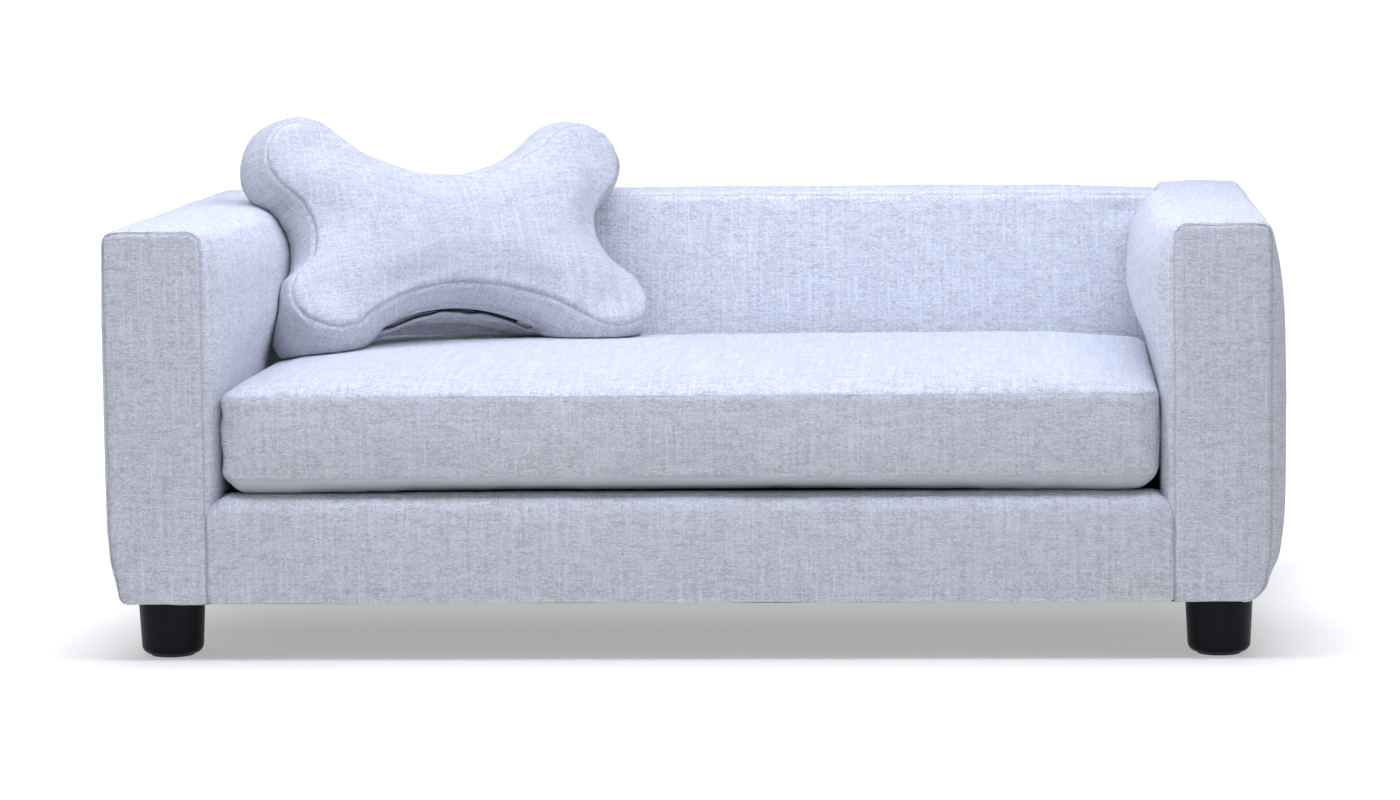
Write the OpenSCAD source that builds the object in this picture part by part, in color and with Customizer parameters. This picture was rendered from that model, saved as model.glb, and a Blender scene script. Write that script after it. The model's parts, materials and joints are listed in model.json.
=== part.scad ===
// Box-arm dog sofa bed: a padded timber frame on four screw-in legs, with a
// loose zipped seat cushion and a bone-shaped pillow leaning in its left corner.
// Millimetres. Origin on the floor under the middle of the bed, +X to its right
// as seen from the front, the front faces -Y, +Z up.

/* [Body] */
// Width over both arms
body_w = 1016; // [900:1:1200]
// Depth, front to back
body_d = 610; // [560:1:700]
// Height of the arms and the back above the floor
body_top = 375; // [340:1:420]
// Width of an arm at its front panel
arm_w = 85; // [80:1:100]
// Thickness of the padded back
back_t = 93; // [85:1:110]
// Height of the front rail's top
rail_top = 146; // [135:1:160]
// How far the padding of an arm puffs towards the seat
arm_puff = 24; // [10:1:30]

/* [Legs] */
// Height of a leg
leg_h = 50; // [40:1:80]
// Diameter of a leg at its top
leg_d = 59; // [50:1:60]
// Distance from a leg's axis to the bed's side
leg_inset_x = 45; // [42:1:50]
// Distance from a leg's axis to the bed's front or rear
leg_inset_y = 45; // [42:1:60]
// Radius of the screw-in stud
stud_r = 4; // [3:0.5:5]

/* [Seat cushion] */
// Height of the cushion's edge above the deck
cushion_edge_h = 84; // [60:1:100]
// Height of the crown above the edge
cushion_crown = 21; // [10:1:30]
// Gap between the cushion and each arm
cushion_gap = 12; // [8:1:20]

/* [Bone pillow] */
// Half of the pillow's length
bone_half_l = 186; // [160:1:200]
// Half of the pillow's height
bone_half_h = 122; // [110:1:125]
// Radius of a lobe
lobe_r = 43; // [38:1:46]
// Half of the height at the waist
bone_waist = 65; // [56:1:68]
// Half of the length at the notch of each end
bone_notch = 148; // [144:1:156]
// Thickness between the two faces
bone_t = 80; // [60:1:86]
// Turn of the pillow's face towards the seat
bone_yaw = 32; // [20:1:36]
// Lean of the pillow against the back
bone_lean = 25; // [18:1:30]

/* [Fabric] */
// Thickness of the upholstery fabric
cloth = 1.5; // [1:0.1:2]

/* [Hidden] */

$fn = 48;

// Colours
fabric_white = "#d9e0f0";
fabric_shade = "#c3cbde";
pine = "#d9b98a";
plywood = "#c9a36c";
foam_cream = "#efe6c4";
black_cloth = "#26272b";
black_plastic = "#17181b";
zinc = "#b9bcc2";
navy = "#23283f";

// Levels and planes of the carcass
dust_t = 0.6;
slack = 0.3;                            // air between a pad and its cover
skin = cloth + slack;                   // from a cover's outside to its pad
base_z = leg_h + dust_t;                // underside of the covers
wood_z0 = base_z + skin;                // underside of the timber
base_t = 20;
ply = 6;
board = 12;
wood_top = body_top - 20;
wood_end = body_d / 2 - 9;              // timber stops this far from the centre, in Y
half_w = body_w / 2;
arm_in = half_w - arm_w;                // inner face of an arm at its front panel
core_in = arm_in + 17;                  // timber of an arm, inner side
core_out = half_w - 14;                 // timber of an arm, outer side
back_y = body_d / 2 - back_t;           // front face of the back
back_core = back_y + 20;                // timber of the back, front side
rail_d = 35;                            // depth of the padded front rail
rail_y = -body_d / 2 + rail_d;          // rear face of the front rail
rail_board_t = 18;
rail_board_y = -body_d / 2 + 15;        // front face of the rail's board
deck_cloth_t = 1;
deck_t = 9;
deck_z = rail_top - deck_cloth_t - deck_t;
edge_r = 10;
tuck_r = 14;                            // radius of an arm's lower outer edge

// Legs
leg_x = half_w - leg_inset_x;
leg_y = body_d / 2 - leg_inset_y;
LEGS = [["front_left", -1, -1], ["front_right", 1, -1], ["rear_left", -1, 1], ["rear_right", 1, 1]];
glide_proud = 1.5;
glide_r = 19;
glide_t = 4;
tee_flange_r = 11;
tee_flange_t = 1.2;
tee_barrel_r = stud_r + 1;
stud_z0 = 22;
stud_z1 = wood_z0 + base_t + 6;

// Seat cushion
cushion_z0 = rail_top + 0.5;
cushion_edge = cushion_z0 + cushion_edge_h;
cushion_top = cushion_edge + cushion_crown;
cushion_x = arm_in - cushion_gap;
cushion_y0 = -body_d / 2;
cushion_y1 = back_y - 12;
cushion_end_run = 81;                   // length of the crown's fall towards each side
cushion_front_run = 150;                // and towards the front and the rear
zip_half = 330;
zip_z = cushion_z0 + cushion_edge_h / 2 + 5;

// Bone pillow, in its own plane: x along its length, y up, z out of its face
bone_centre = [-257, 92, 338];
bone_roll = -3;
lobe_x = bone_half_l - lobe_r;
lobe_y = bone_half_h - lobe_r;
waist_dy = lobe_y - bone_waist;
notch_dx = bone_notch - lobe_x;
waist_r = (lobe_x * lobe_x + waist_dy * waist_dy - lobe_r * lobe_r) / (2 * (lobe_r + waist_dy));
waist_c = bone_waist + waist_r;
notch_r = (lobe_y * lobe_y + notch_dx * notch_dx - lobe_r * lobe_r) / (2 * (lobe_r - notch_dx));
notch_c = bone_notch + notch_r;
waist_a = atan2(waist_c - lobe_y, lobe_x);      // contact of a lobe with the waist's arc
notch_a = atan2(lobe_y, notch_c - lobe_x);      // contact of a lobe with the notch's arc
rest_gap = 0.5;
bone_zip_a = 28;                        // half of the zip's angle along the waist's arc

// Zips
tape_w = 14;
tape_t = 0.9;
coil_w = 5;
coil_t = 2.1;
slider_w = 9;
slider_l = 14;
slider_gap = 0.4;
slider_t = 1.5;

// Points along an arc about c, from angle a0 to angle a1
function arc(c, r, a0, a1, n = 6) =
    [for (i = [0:n]) c + r * [cos(a0 + (a1 - a0) * i / n), sin(a0 + (a1 - a0) * i / n)]];

// A flat ring sector, as an outline
function sector(c, r0, r1, a0, a1, n) = concat(arc(c, r1, a0, a1, n), arc(c, r0, a1, a0, n));

// Extrude an outline drawn in X and Z along Y
module along_y(y0, y1) {
    translate([0, y1, 0]) rotate([90, 0, 0]) linear_extrude(y1 - y0) children();
}

// Extrude an outline drawn in Y and Z along X
module along_x(x0, x1) {
    translate([x0, 0, 0]) rotate([90, 0, 90]) linear_extrude(x1 - x0) children();
}

// A box between two corners
module block(lo, hi) {
    translate(lo) cube(hi - lo);
}

// The right-hand piece as drawn, or its mirror image for the left
module side(s) {
    if (s < 0) mirror([1, 0, 0]) children();
    else children();
}

/* ---------- arms: every module draws the right arm ---------- */

// Outline of an arm seen from the front, i inside its outer face
module arm_outline(i) {
    polygon(concat([[arm_in + i, base_z + i]],
        arc([half_w - tuck_r, base_z + tuck_r], tuck_r - i, -90, 0),
        arc([half_w - edge_r, body_top - edge_r], edge_r - i, 0, 90),
        arc([arm_in + edge_r, body_top - edge_r], edge_r - i, 90, 180)));
}

// The puff of the inner face: a slice of a large ring that fades out at its ends
module arm_puff_slice(i) {
    puff_h = 150;
    puff_l = 480;
    r_small = (puff_h * puff_h / 4 + arm_puff * arm_puff) / (2 * arm_puff);
    r_large = (puff_l * puff_l / 4 + arm_puff * arm_puff) / (2 * arm_puff);
    puff_z = body_top - 8 - puff_h / 2;
    puff_y = back_y - puff_l / 2 - 4;
    intersection() {
        translate([arm_in - arm_puff + r_large, puff_y, puff_z])
            rotate_extrude($fn = 180)
                translate([r_large - r_small, 0]) circle(r = r_small - i, $fn = 90);
        block([arm_in - 2 * arm_puff, -wood_end, rail_top], [arm_in + 6, back_y, body_top]);
    }
}

module arm_solid(i) {
    along_y(-body_d / 2 + i, body_d / 2 - i) arm_outline(i);
    arm_puff_slice(i);
}

// Where the rail, the deck and the back's timber pass into the arm
module arm_openings() {
    block([0, -wood_end, 0], [core_in, wood_end, deck_z + deck_t]);
    block([0, back_core, 0], [core_in, wood_end, wood_top]);
}

module stud_holes(r) {
    for (y = [-leg_y, leg_y])
        translate([leg_x, y, 0]) cylinder(r = r, h = body_top / 2);
}

module arm_pad() {
    color(foam_cream) difference() {
        arm_solid(skin);
        block([core_in, -wood_end, 0], [core_out, wood_end, wood_top]);
        arm_openings();
    }
}

module arm_cover() {
    color(fabric_white) difference() {
        arm_solid(0);
        arm_solid(cloth);
        block([0, -body_d, 0], [body_w, -body_d / 2 + cloth, 2 * body_top]);
        arm_openings();
        stud_holes(stud_r + 2);
    }
}

module arm_front_cover() {
    color(fabric_shade) along_y(-body_d / 2, -body_d / 2 + cloth) arm_outline(0);
}

module arm_outer_panel() {
    color(plywood) block([core_out - ply, -wood_end + board, wood_z0 + 8],
        [core_out, wood_end - board, wood_top]);
}

module arm_inner_panel() {
    color(plywood) block([core_in, -wood_end + board, wood_z0 + base_t],
        [core_in + ply, wood_end - board, wood_top]);
}

// End board of an arm: s is -1 at the front, 1 at the rear
module arm_end_board(s) {
    y0 = s < 0 ? -wood_end : wood_end - board;
    color(plywood) block([core_in, y0, wood_z0 + base_t], [core_out, y0 + board, wood_top]);
}

module arm_top_rail() {
    color(pine) block([core_in + ply, -wood_end + board, wood_top - base_t],
        [core_out - ply, wood_end - board, wood_top]);
}

module arm_base_board() {
    color(pine) difference() {
        block([core_in, -wood_end, wood_z0], [core_out - ply, wood_end, wood_z0 + base_t]);
        stud_holes(tee_barrel_r + 0.1);
    }
}

/* ---------- front rail and deck ---------- */

module rail_outline(i) {
    polygon(concat([[rail_y - i, base_z + i]],
        [[rail_y - i, rail_top - i]],
        arc([-body_d / 2 + 6, rail_top - 6], 6 - i, 90, 180),
        arc([-body_d / 2 + 6, base_z + 6], 6 - i, 180, 270)));
}

module front_rail_board() {
    color(pine) block([-core_in, rail_board_y, wood_z0],
        [core_in, rail_board_y + rail_board_t, rail_top - board]);
}

module front_rail_pad() {
    color(foam_cream) difference() {
        along_x(-arm_in + 0.5, arm_in - 0.5) rail_outline(skin);
        block([-half_w, rail_board_y, 0], [half_w, 0, rail_top - board]);
    }
}

module front_rail_cover() {
    color(fabric_white) difference() {
        along_x(-arm_in, arm_in) rail_outline(0);
        along_x(-half_w, half_w) rail_outline(cloth);
        block([-half_w, rail_board_y, 0], [half_w, 0, rail_top - 30]);
    }
}

module deck_board() {
    color(plywood) block([-core_in, rail_y + 0.5, deck_z], [core_in, back_core, deck_z + deck_t]);
}

module deck_cloth() {
    color(black_cloth) block([-arm_in, rail_y, rail_top - deck_cloth_t], [arm_in, back_core, rail_top]);
}

// A cleat along each arm and a beam under the middle
module deck_supports() {
    color(pine) {
        for (s = [-1, 1]) side(s)
            block([core_in - 20, rail_y, deck_z - 20], [core_in, back_core + ply, deck_z]);
        block([-10, rail_y, deck_z - 50], [10, back_core, deck_z]);
    }
}

/* ---------- back ---------- */

module back_outline(i) {
    polygon(concat([[body_d / 2 - i, base_z + i]],
        arc([body_d / 2 - edge_r, body_top - edge_r], edge_r - i, 0, 90),
        arc([back_y + edge_r, body_top - edge_r], edge_r - i, 90, 180),
        [[back_y + i, rail_top + 1], [back_core + ply, rail_top + 1], [back_core + ply, base_z + i]]));
}

module back_timber_space() {
    block([-half_w, back_core, 0], [half_w, wood_end, wood_top]);
}

module back_pad() {
    color(foam_cream) difference() {
        along_x(-arm_in + 0.5, arm_in - 0.5) back_outline(skin);
        back_timber_space();
    }
}

module back_cover() {
    color(fabric_white) difference() {
        along_x(-arm_in, arm_in) back_outline(0);
        along_x(-half_w, half_w) back_outline(cloth);
        block([-half_w, 0, 0], [half_w, wood_end, rail_top + 1 + cloth + 0.1]);
        back_timber_space();
    }
}

module back_front_panel() {
    color(plywood) difference() {
        block([-core_in, back_core, wood_z0 + base_t], [core_in, back_core + ply, wood_top]);
        for (s = [-1, 1]) side(s)
            block([core_in - 20, 0, deck_z - 20], [core_in + 1, body_d, deck_z]);
    }
}

module back_rear_panel() {
    color(plywood) block([-core_in, wood_end - ply, wood_z0 + 8], [core_in, wood_end, wood_top]);
}

module back_rail(z0) {
    color(pine) block([-core_in, back_core + ply, z0], [core_in, wood_end - ply, z0 + base_t]);
}

module back_uprights() {
    post_t = 18;
    color(pine) for (x0 = [-core_in, -post_t / 2, core_in - post_t])
        block([x0, back_core + ply, wood_z0 + base_t], [x0 + post_t, wood_end - ply, wood_top - base_t]);
}

/* ---------- fixings and the underside ---------- */

module leg_tee_nuts() {
    color(zinc) for (leg = LEGS)
        translate([leg[1] * leg_x, leg[2] * leg_y, 0]) difference() {
            union() {
                translate([0, 0, wood_z0 + base_t]) cylinder(r = tee_flange_r, h = tee_flange_t);
                translate([0, 0, wood_z0 + 8]) cylinder(r = tee_barrel_r, h = base_t - 8);
            }
            cylinder(r = stud_r + 0.08, h = body_top);
        }
}

// A wood screw driven towards the middle of the bed, its head at the origin
module wood_screw(len) {
    rotate([0, -90, 0]) {
        translate([0, 0, -2.5]) cylinder(r = 4, h = 2.5);
        cylinder(r = 2, h = len);
    }
}

module frame_screws() {
    color(zinc) for (s = [-1, 1]) side(s) {
        for (z = [wood_z0 + 32, deck_z - 30])
            translate([core_in + ply, rail_board_y + rail_board_t - 5.5, z]) wood_screw(40);
        for (z = [110, 215, 320])
            translate([core_in + ply, (back_core + wood_end) / 2, z]) wood_screw(22);
    }
}

// Staples that hold the dust cover: a crown below it and two prongs in the timber
module staple() {
    block([-5, -0.6, -0.7], [5, 0.6, 0]);
    for (x = [-5, 3.8])
        block([x, -0.6, -0.7], [x + 1.2, 0.6, 8]);
}

module cover_staples() {
    staple_y = wood_end - 14;
    staple_x = core_in + 12;
    color(zinc) translate([0, 0, leg_h]) {
        for (x = [-400:100:400], s = [-1, 1])
            translate([x, s < 0 ? rail_board_y + rail_board_t / 2 : staple_y, 0]) staple();
        for (y = [-180:90:180], s = [-1, 1])
            translate([s * staple_x, y, 0]) rotate([0, 0, 90]) staple();
    }
}

module dust_cover() {
    color(black_cloth) difference() {
        block([-half_w + 26, -body_d / 2 + 12, leg_h], [half_w - 26, body_d / 2 - 12, leg_h + dust_t]);
        for (s = [-1, 1]) side(s) stud_holes(stud_r + 2);
    }
}

/* ---------- seat cushion ---------- */

// Half of a crowned section: level in the middle, falling along an arc to the edge
function crown_side(half, run, i) =
    let (r = (run * run + cushion_crown * cushion_crown) / (2 * cushion_crown), a = asin(run / r))
    arc([half - run, cushion_top - r], r - i, 90 - a, 90);

// Section of the cushion with a crown: from -half to half about c
module crown_section(c, half, run, i) {
    rise = crown_side(half, run, i);
    polygon(concat([[c - half + i, cushion_z0 + i], [c + half - i, cushion_z0 + i]],
        [for (p = rise) [min(c + p[0], c + half - i), p[1]]],
        [for (k = [len(rise) - 1:-1:0]) [max(c - rise[k][0], c - half + i), rise[k][1]]]));
}

module cushion_solid(i) {
    mid_y = (cushion_y0 + cushion_y1) / 2;
    half_y = (cushion_y1 - cushion_y0) / 2;
    r = 22;
    intersection() {
        along_y(cushion_y0 + i, cushion_y1 - i) crown_section(0, cushion_x, cushion_end_run, i);
        along_x(-cushion_x + i, cushion_x - i) crown_section(mid_y, half_y, cushion_front_run, i);
        translate([0, mid_y, 0]) linear_extrude(body_top) polygon(concat(
            arc([cushion_x - r, -half_y + r], r - i, -90, 0), arc([cushion_x - r, half_y - r], r - i, 0, 90),
            arc([-cushion_x + r, half_y - r], r - i, 90, 180), arc([-cushion_x + r, -half_y + r], r - i, 180, 270)));
    }
}

module seat_cushion_cover() {
    color(fabric_white) difference() {
        cushion_solid(0);
        cushion_solid(cloth);
        block([-zip_half, cushion_y1 - 4, zip_z - tape_w / 2], [zip_half, cushion_y1 + 4, zip_z + tape_w / 2]);
    }
}

module seat_cushion_foam() {
    color(foam_cream) cushion_solid(skin);
}

module seat_zip_tapes() {
    color(navy) for (z = [zip_z - tape_w / 2, zip_z + 0.2])
        block([-zip_half, cushion_y1 - tape_t, z], [zip_half, cushion_y1, z + tape_w / 2 - 0.2]);
}

module seat_zip_coil() {
    color(navy) block([-zip_half, cushion_y1, zip_z - coil_w / 2], [zip_half, cushion_y1 + coil_t, zip_z + coil_w / 2]);
}

// Channel that runs over the coil, parked at the right-hand end
module seat_zip_slider() {
    y0 = cushion_y1 + slider_gap;
    y1 = cushion_y1 + coil_t + slider_gap;
    color(zinc) translate([zip_half - slider_l - 2, 0, zip_z]) difference() {
        block([0, y0, -slider_w / 2], [slider_l, y1 + slider_t, slider_w / 2]);
        block([-1, y0 - 1, -coil_w / 2 - slider_gap], [slider_l + 1, y1, coil_w / 2 + slider_gap]);
    }
}

/* ---------- bone pillow ---------- */

// Place a piece drawn in the pillow's own plane
module place_bone() {
    translate(bone_centre) rotate([90 - bone_lean, 0, bone_yaw]) rotate([0, 0, bone_roll]) children();
}

// The whole outline: lobes and hollows alternate, each meeting the next at a tangent
module bone_outline(i) {
    polygon(concat(
        arc([lobe_x, -lobe_y], lobe_r - i, waist_a - 180, notch_a, 14),
        arc([notch_c, 0], notch_r + i, 180 + notch_a, 180 - notch_a, 8),
        arc([lobe_x, lobe_y], lobe_r - i, -notch_a, 180 - waist_a, 14),
        arc([0, waist_c], waist_r + i, -waist_a, waist_a - 180, 12),
        arc([-lobe_x, lobe_y], lobe_r - i, waist_a, 180 + notch_a, 14),
        arc([-notch_c, 0], notch_r + i, notch_a, -notch_a, 8),
        arc([-lobe_x, -lobe_y], lobe_r - i, 180 - notch_a, 360 - waist_a, 14),
        arc([0, -waist_c], waist_r + i, 180 - waist_a, waist_a, 12)));
}

// The pillow gives way where it rests on the cushion, the arm and the back
module bone_solid(i) {
    difference() {
        place_bone() translate([0, 0, -bone_t / 2 + i]) linear_extrude(bone_t - 2 * i) bone_outline(i);
        block([-body_w, -body_d, 0], [body_w, body_d, cushion_top + rest_gap + i]);
        block([-body_w, -body_d, 0], [-arm_in + arm_puff + rest_gap + i, body_d, body_top + rest_gap + i]);
        block([-body_w, back_y - rest_gap - i, 0], [body_w, body_d, body_top + rest_gap + i]);
    }
}

// A strip along the arc of the lower waist, between two radii, w wide across the thickness
module waist_strip(r0, r1, half_a, w) {
    place_bone() translate([0, 0, -w / 2]) linear_extrude(w)
        polygon(sector([0, -waist_c], r0, r1, 90 - half_a, 90 + half_a, 24));
}

module bone_pillow_cover() {
    color(fabric_white) difference() {
        bone_solid(0);
        bone_solid(cloth);
        waist_strip(waist_r - 2, waist_r + cloth + 1, bone_zip_a, tape_w);
    }
}

module bone_pillow_filling() {
    color(foam_cream) bone_solid(skin);
}

module bone_zip_tapes() {
    color(navy) difference() {
        waist_strip(waist_r, waist_r + tape_t, bone_zip_a, tape_w);
        waist_strip(waist_r - 1, waist_r + tape_t + 1, bone_zip_a + 1, 0.4);
    }
}

module bone_zip_coil() {
    color(navy) waist_strip(waist_r - coil_t, waist_r, bone_zip_a, coil_w);
}

// Parked at the right-hand end of the waist
module bone_zip_slider() {
    half_a = slider_l / 2 / waist_r * 180 / PI;
    r0 = waist_r - coil_t - slider_gap - slider_t;
    park = bone_zip_a - half_a - 1;
    color(zinc) place_bone() translate([0, -waist_c, 0]) rotate([0, 0, -park]) difference() {
        translate([0, 0, -slider_w / 2]) linear_extrude(slider_w)
            polygon(sector([0, 0], r0, waist_r - slider_gap, 90 - half_a, 90 + half_a, 6));
        translate([0, 0, -coil_w / 2 - slider_gap]) linear_extrude(coil_w + 2 * slider_gap)
            polygon(sector([0, 0], r0 + slider_t, waist_r, 88 - half_a, 92 + half_a, 6));
    }
}

/* ---------- legs ---------- */

// Moulded leg: a tapered cup with a boss for the stud and a recess for the glide
module leg() {
    wall = 3.5;
    foot_r = leg_d / 2 - 2;
    round_r = 8;
    color(black_plastic) rotate_extrude($fn = 96) difference() {
        polygon(concat([[0, glide_proud]],
            arc([foot_r - round_r, glide_proud + round_r], round_r, -90, 0),
            [[leg_d / 2, leg_h], [0, leg_h]]));
        polygon([[10, 9], [foot_r - wall, 9], [leg_d / 2 - wall, leg_h + 1], [10, leg_h + 1]]);
        square([stud_r + 0.02, leg_h + 1]);
        square([glide_r + 0.1, glide_t]);
    }
    color(black_plastic) translate([0, 0, glide_t]) cylinder(r = stud_r + 1, h = stud_z0 - glide_t);
}

module leg_stud() {
    color(zinc) translate([0, 0, stud_z0]) cylinder(r = stud_r, h = stud_z1 - stud_z0);
}

module leg_glide() {
    color("dimgray") cylinder(r = glide_r, h = glide_t - 0.1);
}

module place_leg(leg) {
    translate([leg[1] * leg_x, leg[2] * leg_y, 0]) children();
}

front_rail_board();
back_rail(wood_z0);  // rear_rail_board
deck_board();
deck_supports();
for (arm = [["left_arm", -1], ["right_arm", 1]]) {
    side(arm[1]) arm_outer_panel();
    side(arm[1]) arm_inner_panel();
    side(arm[1]) arm_end_board(-1);
    side(arm[1]) arm_end_board(1);
    side(arm[1]) arm_top_rail();
    side(arm[1]) arm_base_board();
    side(arm[1]) arm_pad();
    side(arm[1]) arm_cover();
    side(arm[1]) arm_front_cover();
}
back_front_panel();
back_rear_panel();
back_rail(wood_top - base_t);  // back_top_rail
back_uprights();
leg_tee_nuts();
frame_screws();
cover_staples();
dust_cover();
back_pad();
front_rail_pad();
back_cover();
front_rail_cover();
deck_cloth();
seat_cushion_cover();
seat_cushion_foam();
seat_zip_tapes();
seat_zip_coil();
seat_zip_slider();
bone_pillow_cover();
bone_pillow_filling();
bone_zip_tapes();
bone_zip_coil();
bone_zip_slider();
for (corner = LEGS) {
    place_leg(corner) leg();
    place_leg(corner) leg_stud();
    place_leg(corner) leg_glide();
}
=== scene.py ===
"""The looks of the dog sofa bed: upholstery, cushion, bone pillow, zips, materials, light and camera."""
import json
import math

import bpy
import numpy as np
from mathutils import Matrix, Vector
from mathutils.bvhtree import BVHTree


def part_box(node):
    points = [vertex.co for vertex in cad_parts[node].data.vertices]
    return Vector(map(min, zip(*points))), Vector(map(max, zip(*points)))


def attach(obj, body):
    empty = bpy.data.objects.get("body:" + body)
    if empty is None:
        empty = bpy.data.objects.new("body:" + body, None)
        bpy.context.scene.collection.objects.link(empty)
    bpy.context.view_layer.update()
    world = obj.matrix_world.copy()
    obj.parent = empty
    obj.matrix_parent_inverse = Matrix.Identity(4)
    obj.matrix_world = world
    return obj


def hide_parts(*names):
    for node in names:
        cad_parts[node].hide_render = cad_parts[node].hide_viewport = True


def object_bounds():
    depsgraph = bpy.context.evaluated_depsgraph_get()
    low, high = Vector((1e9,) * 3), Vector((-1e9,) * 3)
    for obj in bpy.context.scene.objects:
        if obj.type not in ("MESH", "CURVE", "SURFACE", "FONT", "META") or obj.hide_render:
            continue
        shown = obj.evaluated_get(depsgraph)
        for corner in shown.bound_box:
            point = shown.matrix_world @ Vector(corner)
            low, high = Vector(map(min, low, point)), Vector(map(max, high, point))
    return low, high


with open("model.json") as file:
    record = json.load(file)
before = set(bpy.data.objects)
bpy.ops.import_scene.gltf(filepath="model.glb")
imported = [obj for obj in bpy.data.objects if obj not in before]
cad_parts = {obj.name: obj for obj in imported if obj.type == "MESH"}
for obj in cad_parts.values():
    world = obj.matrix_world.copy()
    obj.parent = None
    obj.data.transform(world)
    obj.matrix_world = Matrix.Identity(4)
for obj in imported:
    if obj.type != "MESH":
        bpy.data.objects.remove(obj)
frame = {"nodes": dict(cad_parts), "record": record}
CAD_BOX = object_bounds()
NODES = frame["nodes"]
MM = 0.001
X, Y, Z = 0, 1, 2


# ---------------------------------------------------------------- small numeric tools

def lattice(points, seed):
    """A repeatable pseudo-random value from 0 to 1 at each whole-number point."""
    a = points.astype(np.int64)
    n = a[:, 0] * 374761393 + a[:, 1] * 668265263 + a[:, 2] * 2147483647 + seed * 974634777
    n = (n ^ (n >> 13)) * 1274126177
    return ((n ^ (n >> 16)) & 0xFFFFFF) / float(0xFFFFFF)


def noise3(points, size, seed=0):
    """Smooth noise from -1 to 1 with features of about the given size."""
    p = np.asarray(points, float) / size + 1000.0
    base = np.floor(p)
    f = p - base
    f = f * f * (3 - 2 * f)
    total = np.zeros(len(p))
    for dx in (0, 1):
        for dy in (0, 1):
            for dz in (0, 1):
                w = (np.where(dx, f[:, 0], 1 - f[:, 0]) * np.where(dy, f[:, 1], 1 - f[:, 1])
                     * np.where(dz, f[:, 2], 1 - f[:, 2]))
                total += w * lattice(base + (dx, dy, dz), seed)
    return total * 2 - 1


def smooth(t):
    """Smooth step from 0 to 1."""
    t = np.clip(t, 0, 1)
    return t * t * (3 - 2 * t)


def ease(t):
    """Rises from 0 and arrives level at 1."""
    t = np.clip(t, 0, 1)
    return 1 - (1 - t) ** 2


def arc(centre, radius, a0, a1, n):
    """n + 1 points of an arc, angles in degrees."""
    a = np.radians(np.linspace(a0, a1, n + 1))
    return np.stack([centre[0] + radius * np.cos(a), centre[1] + radius * np.sin(a)], 1)


def steps(line):
    """Lengths of the steps from each point of a line, or row of a grid, to the next."""
    return np.linalg.norm(np.diff(line, axis=0), axis=-1)


def running(lengths):
    """Their running total, from 0."""
    return np.concatenate([[0], np.cumsum(lengths)])


def spaced(outline, count):
    """count points evenly spaced along an open outline, both ends kept."""
    run = running(steps(outline))
    at = np.linspace(0, run[-1], count)
    return np.stack([np.interp(at, run, outline[:, k]) for k in range(outline.shape[1])], 1)


def coons(bottom, top, left, right):
    """A grid of points spanned between four edges; bottom and top run along the first index."""
    ni, nj = len(bottom), len(left)
    u = np.linspace(0, 1, ni)[:, None, None]
    v = np.linspace(0, 1, nj)[None, :, None]
    ruled = (1 - v) * bottom[:, None] + v * top[:, None] + (1 - u) * left[None] + u * right[None]
    corners = ((1 - u) * (1 - v) * bottom[0] + u * (1 - v) * bottom[-1]
               + (1 - u) * v * top[0] + u * v * top[-1])
    return ruled - corners


def relaxed(grid, rounds):
    """The grid with its inner points evened out, its edges kept."""
    g = grid.copy()
    for _ in range(rounds):
        g[1:-1, 1:-1] = (g[:-2, 1:-1] + g[2:, 1:-1] + g[1:-1, :-2] + g[1:-1, 2:]) / 4
    return g


def spline_weights(count, at, closed=False):
    """Matrix that evaluates a smooth curve through count points at the places in at."""
    k = np.clip(np.floor(at).astype(int), 0, count - (1 if closed else 2))
    f = at - k
    w = np.stack([-0.5 * f + f ** 2 - 0.5 * f ** 3, 1 - 2.5 * f ** 2 + 1.5 * f ** 3,
                  0.5 * f + 2 * f ** 2 - 1.5 * f ** 3, -0.5 * f ** 2 + 0.5 * f ** 3], 1)
    m = np.zeros((len(at), count))
    rows = np.arange(len(at))
    for step in range(4):
        idx = k + step - 1
        if closed:
            np.add.at(m, (rows, idx % count), w[:, step])
            continue
        low, high = idx < 0, idx >= count
        inside = ~(low | high)
        np.add.at(m, (rows[inside], idx[inside]), w[inside, step])
        for mask, a, b in ((low, 0, 1), (high, count - 1, count - 2)):
            np.add.at(m, (rows[mask], np.full(mask.sum(), a)), 2 * w[mask, step])
            np.add.at(m, (rows[mask], np.full(mask.sum(), b)), -w[mask, step])
    return m


# ---------------------------------------------------------------- sewn pieces

class Panel:
    """One cut of cloth: a grid of control points, its flat cloth coordinates, and which edges are sewn.
    Edges are named i0, i1, j0 and j1 after the side of the grid they are on. A closed panel's last row is
    joined to its first. A lining is plain smooth cloth."""

    def __init__(self, grid, uv, seams="", closed=False, lining=False):
        self.grid = np.asarray(grid, float)
        self.uv = np.asarray(uv, float)
        self.seams = seams.split()
        self.closed = closed
        self.lining = lining


SEAM_ROWS = np.array([0, 0.7, 1.5, 2.6, 4.2, 6.5, 9.5, 13.5]) * MM      # rows of points beside a seam
GROOVE = 2.4 * MM       # half width of the groove at a seam
ROLL_AT, ROLL_WIDE, ROLL_SHARE = 5 * MM, 3 * MM, 0.4    # the soft roll beside the groove
SEAM_DARK_HALF = 1.3 * MM       # half width of the dark line along a seam: partly its thread, partly painted shade in its groove
PUCKER_SIZE, PUCKER_REACH = 10 * MM, 12 * MM
STRAY_SIZE, STRAY_MOST, STRAY_REACH = 22 * MM, 0.6 * MM, 10 * MM        # how a seam wanders from its line
WAVES, WAVE_FROM = ((1, 95 * MM, 0.7), (2, 38 * MM, 0.3)), 30 * MM     # seed step, size and share of each


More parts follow.
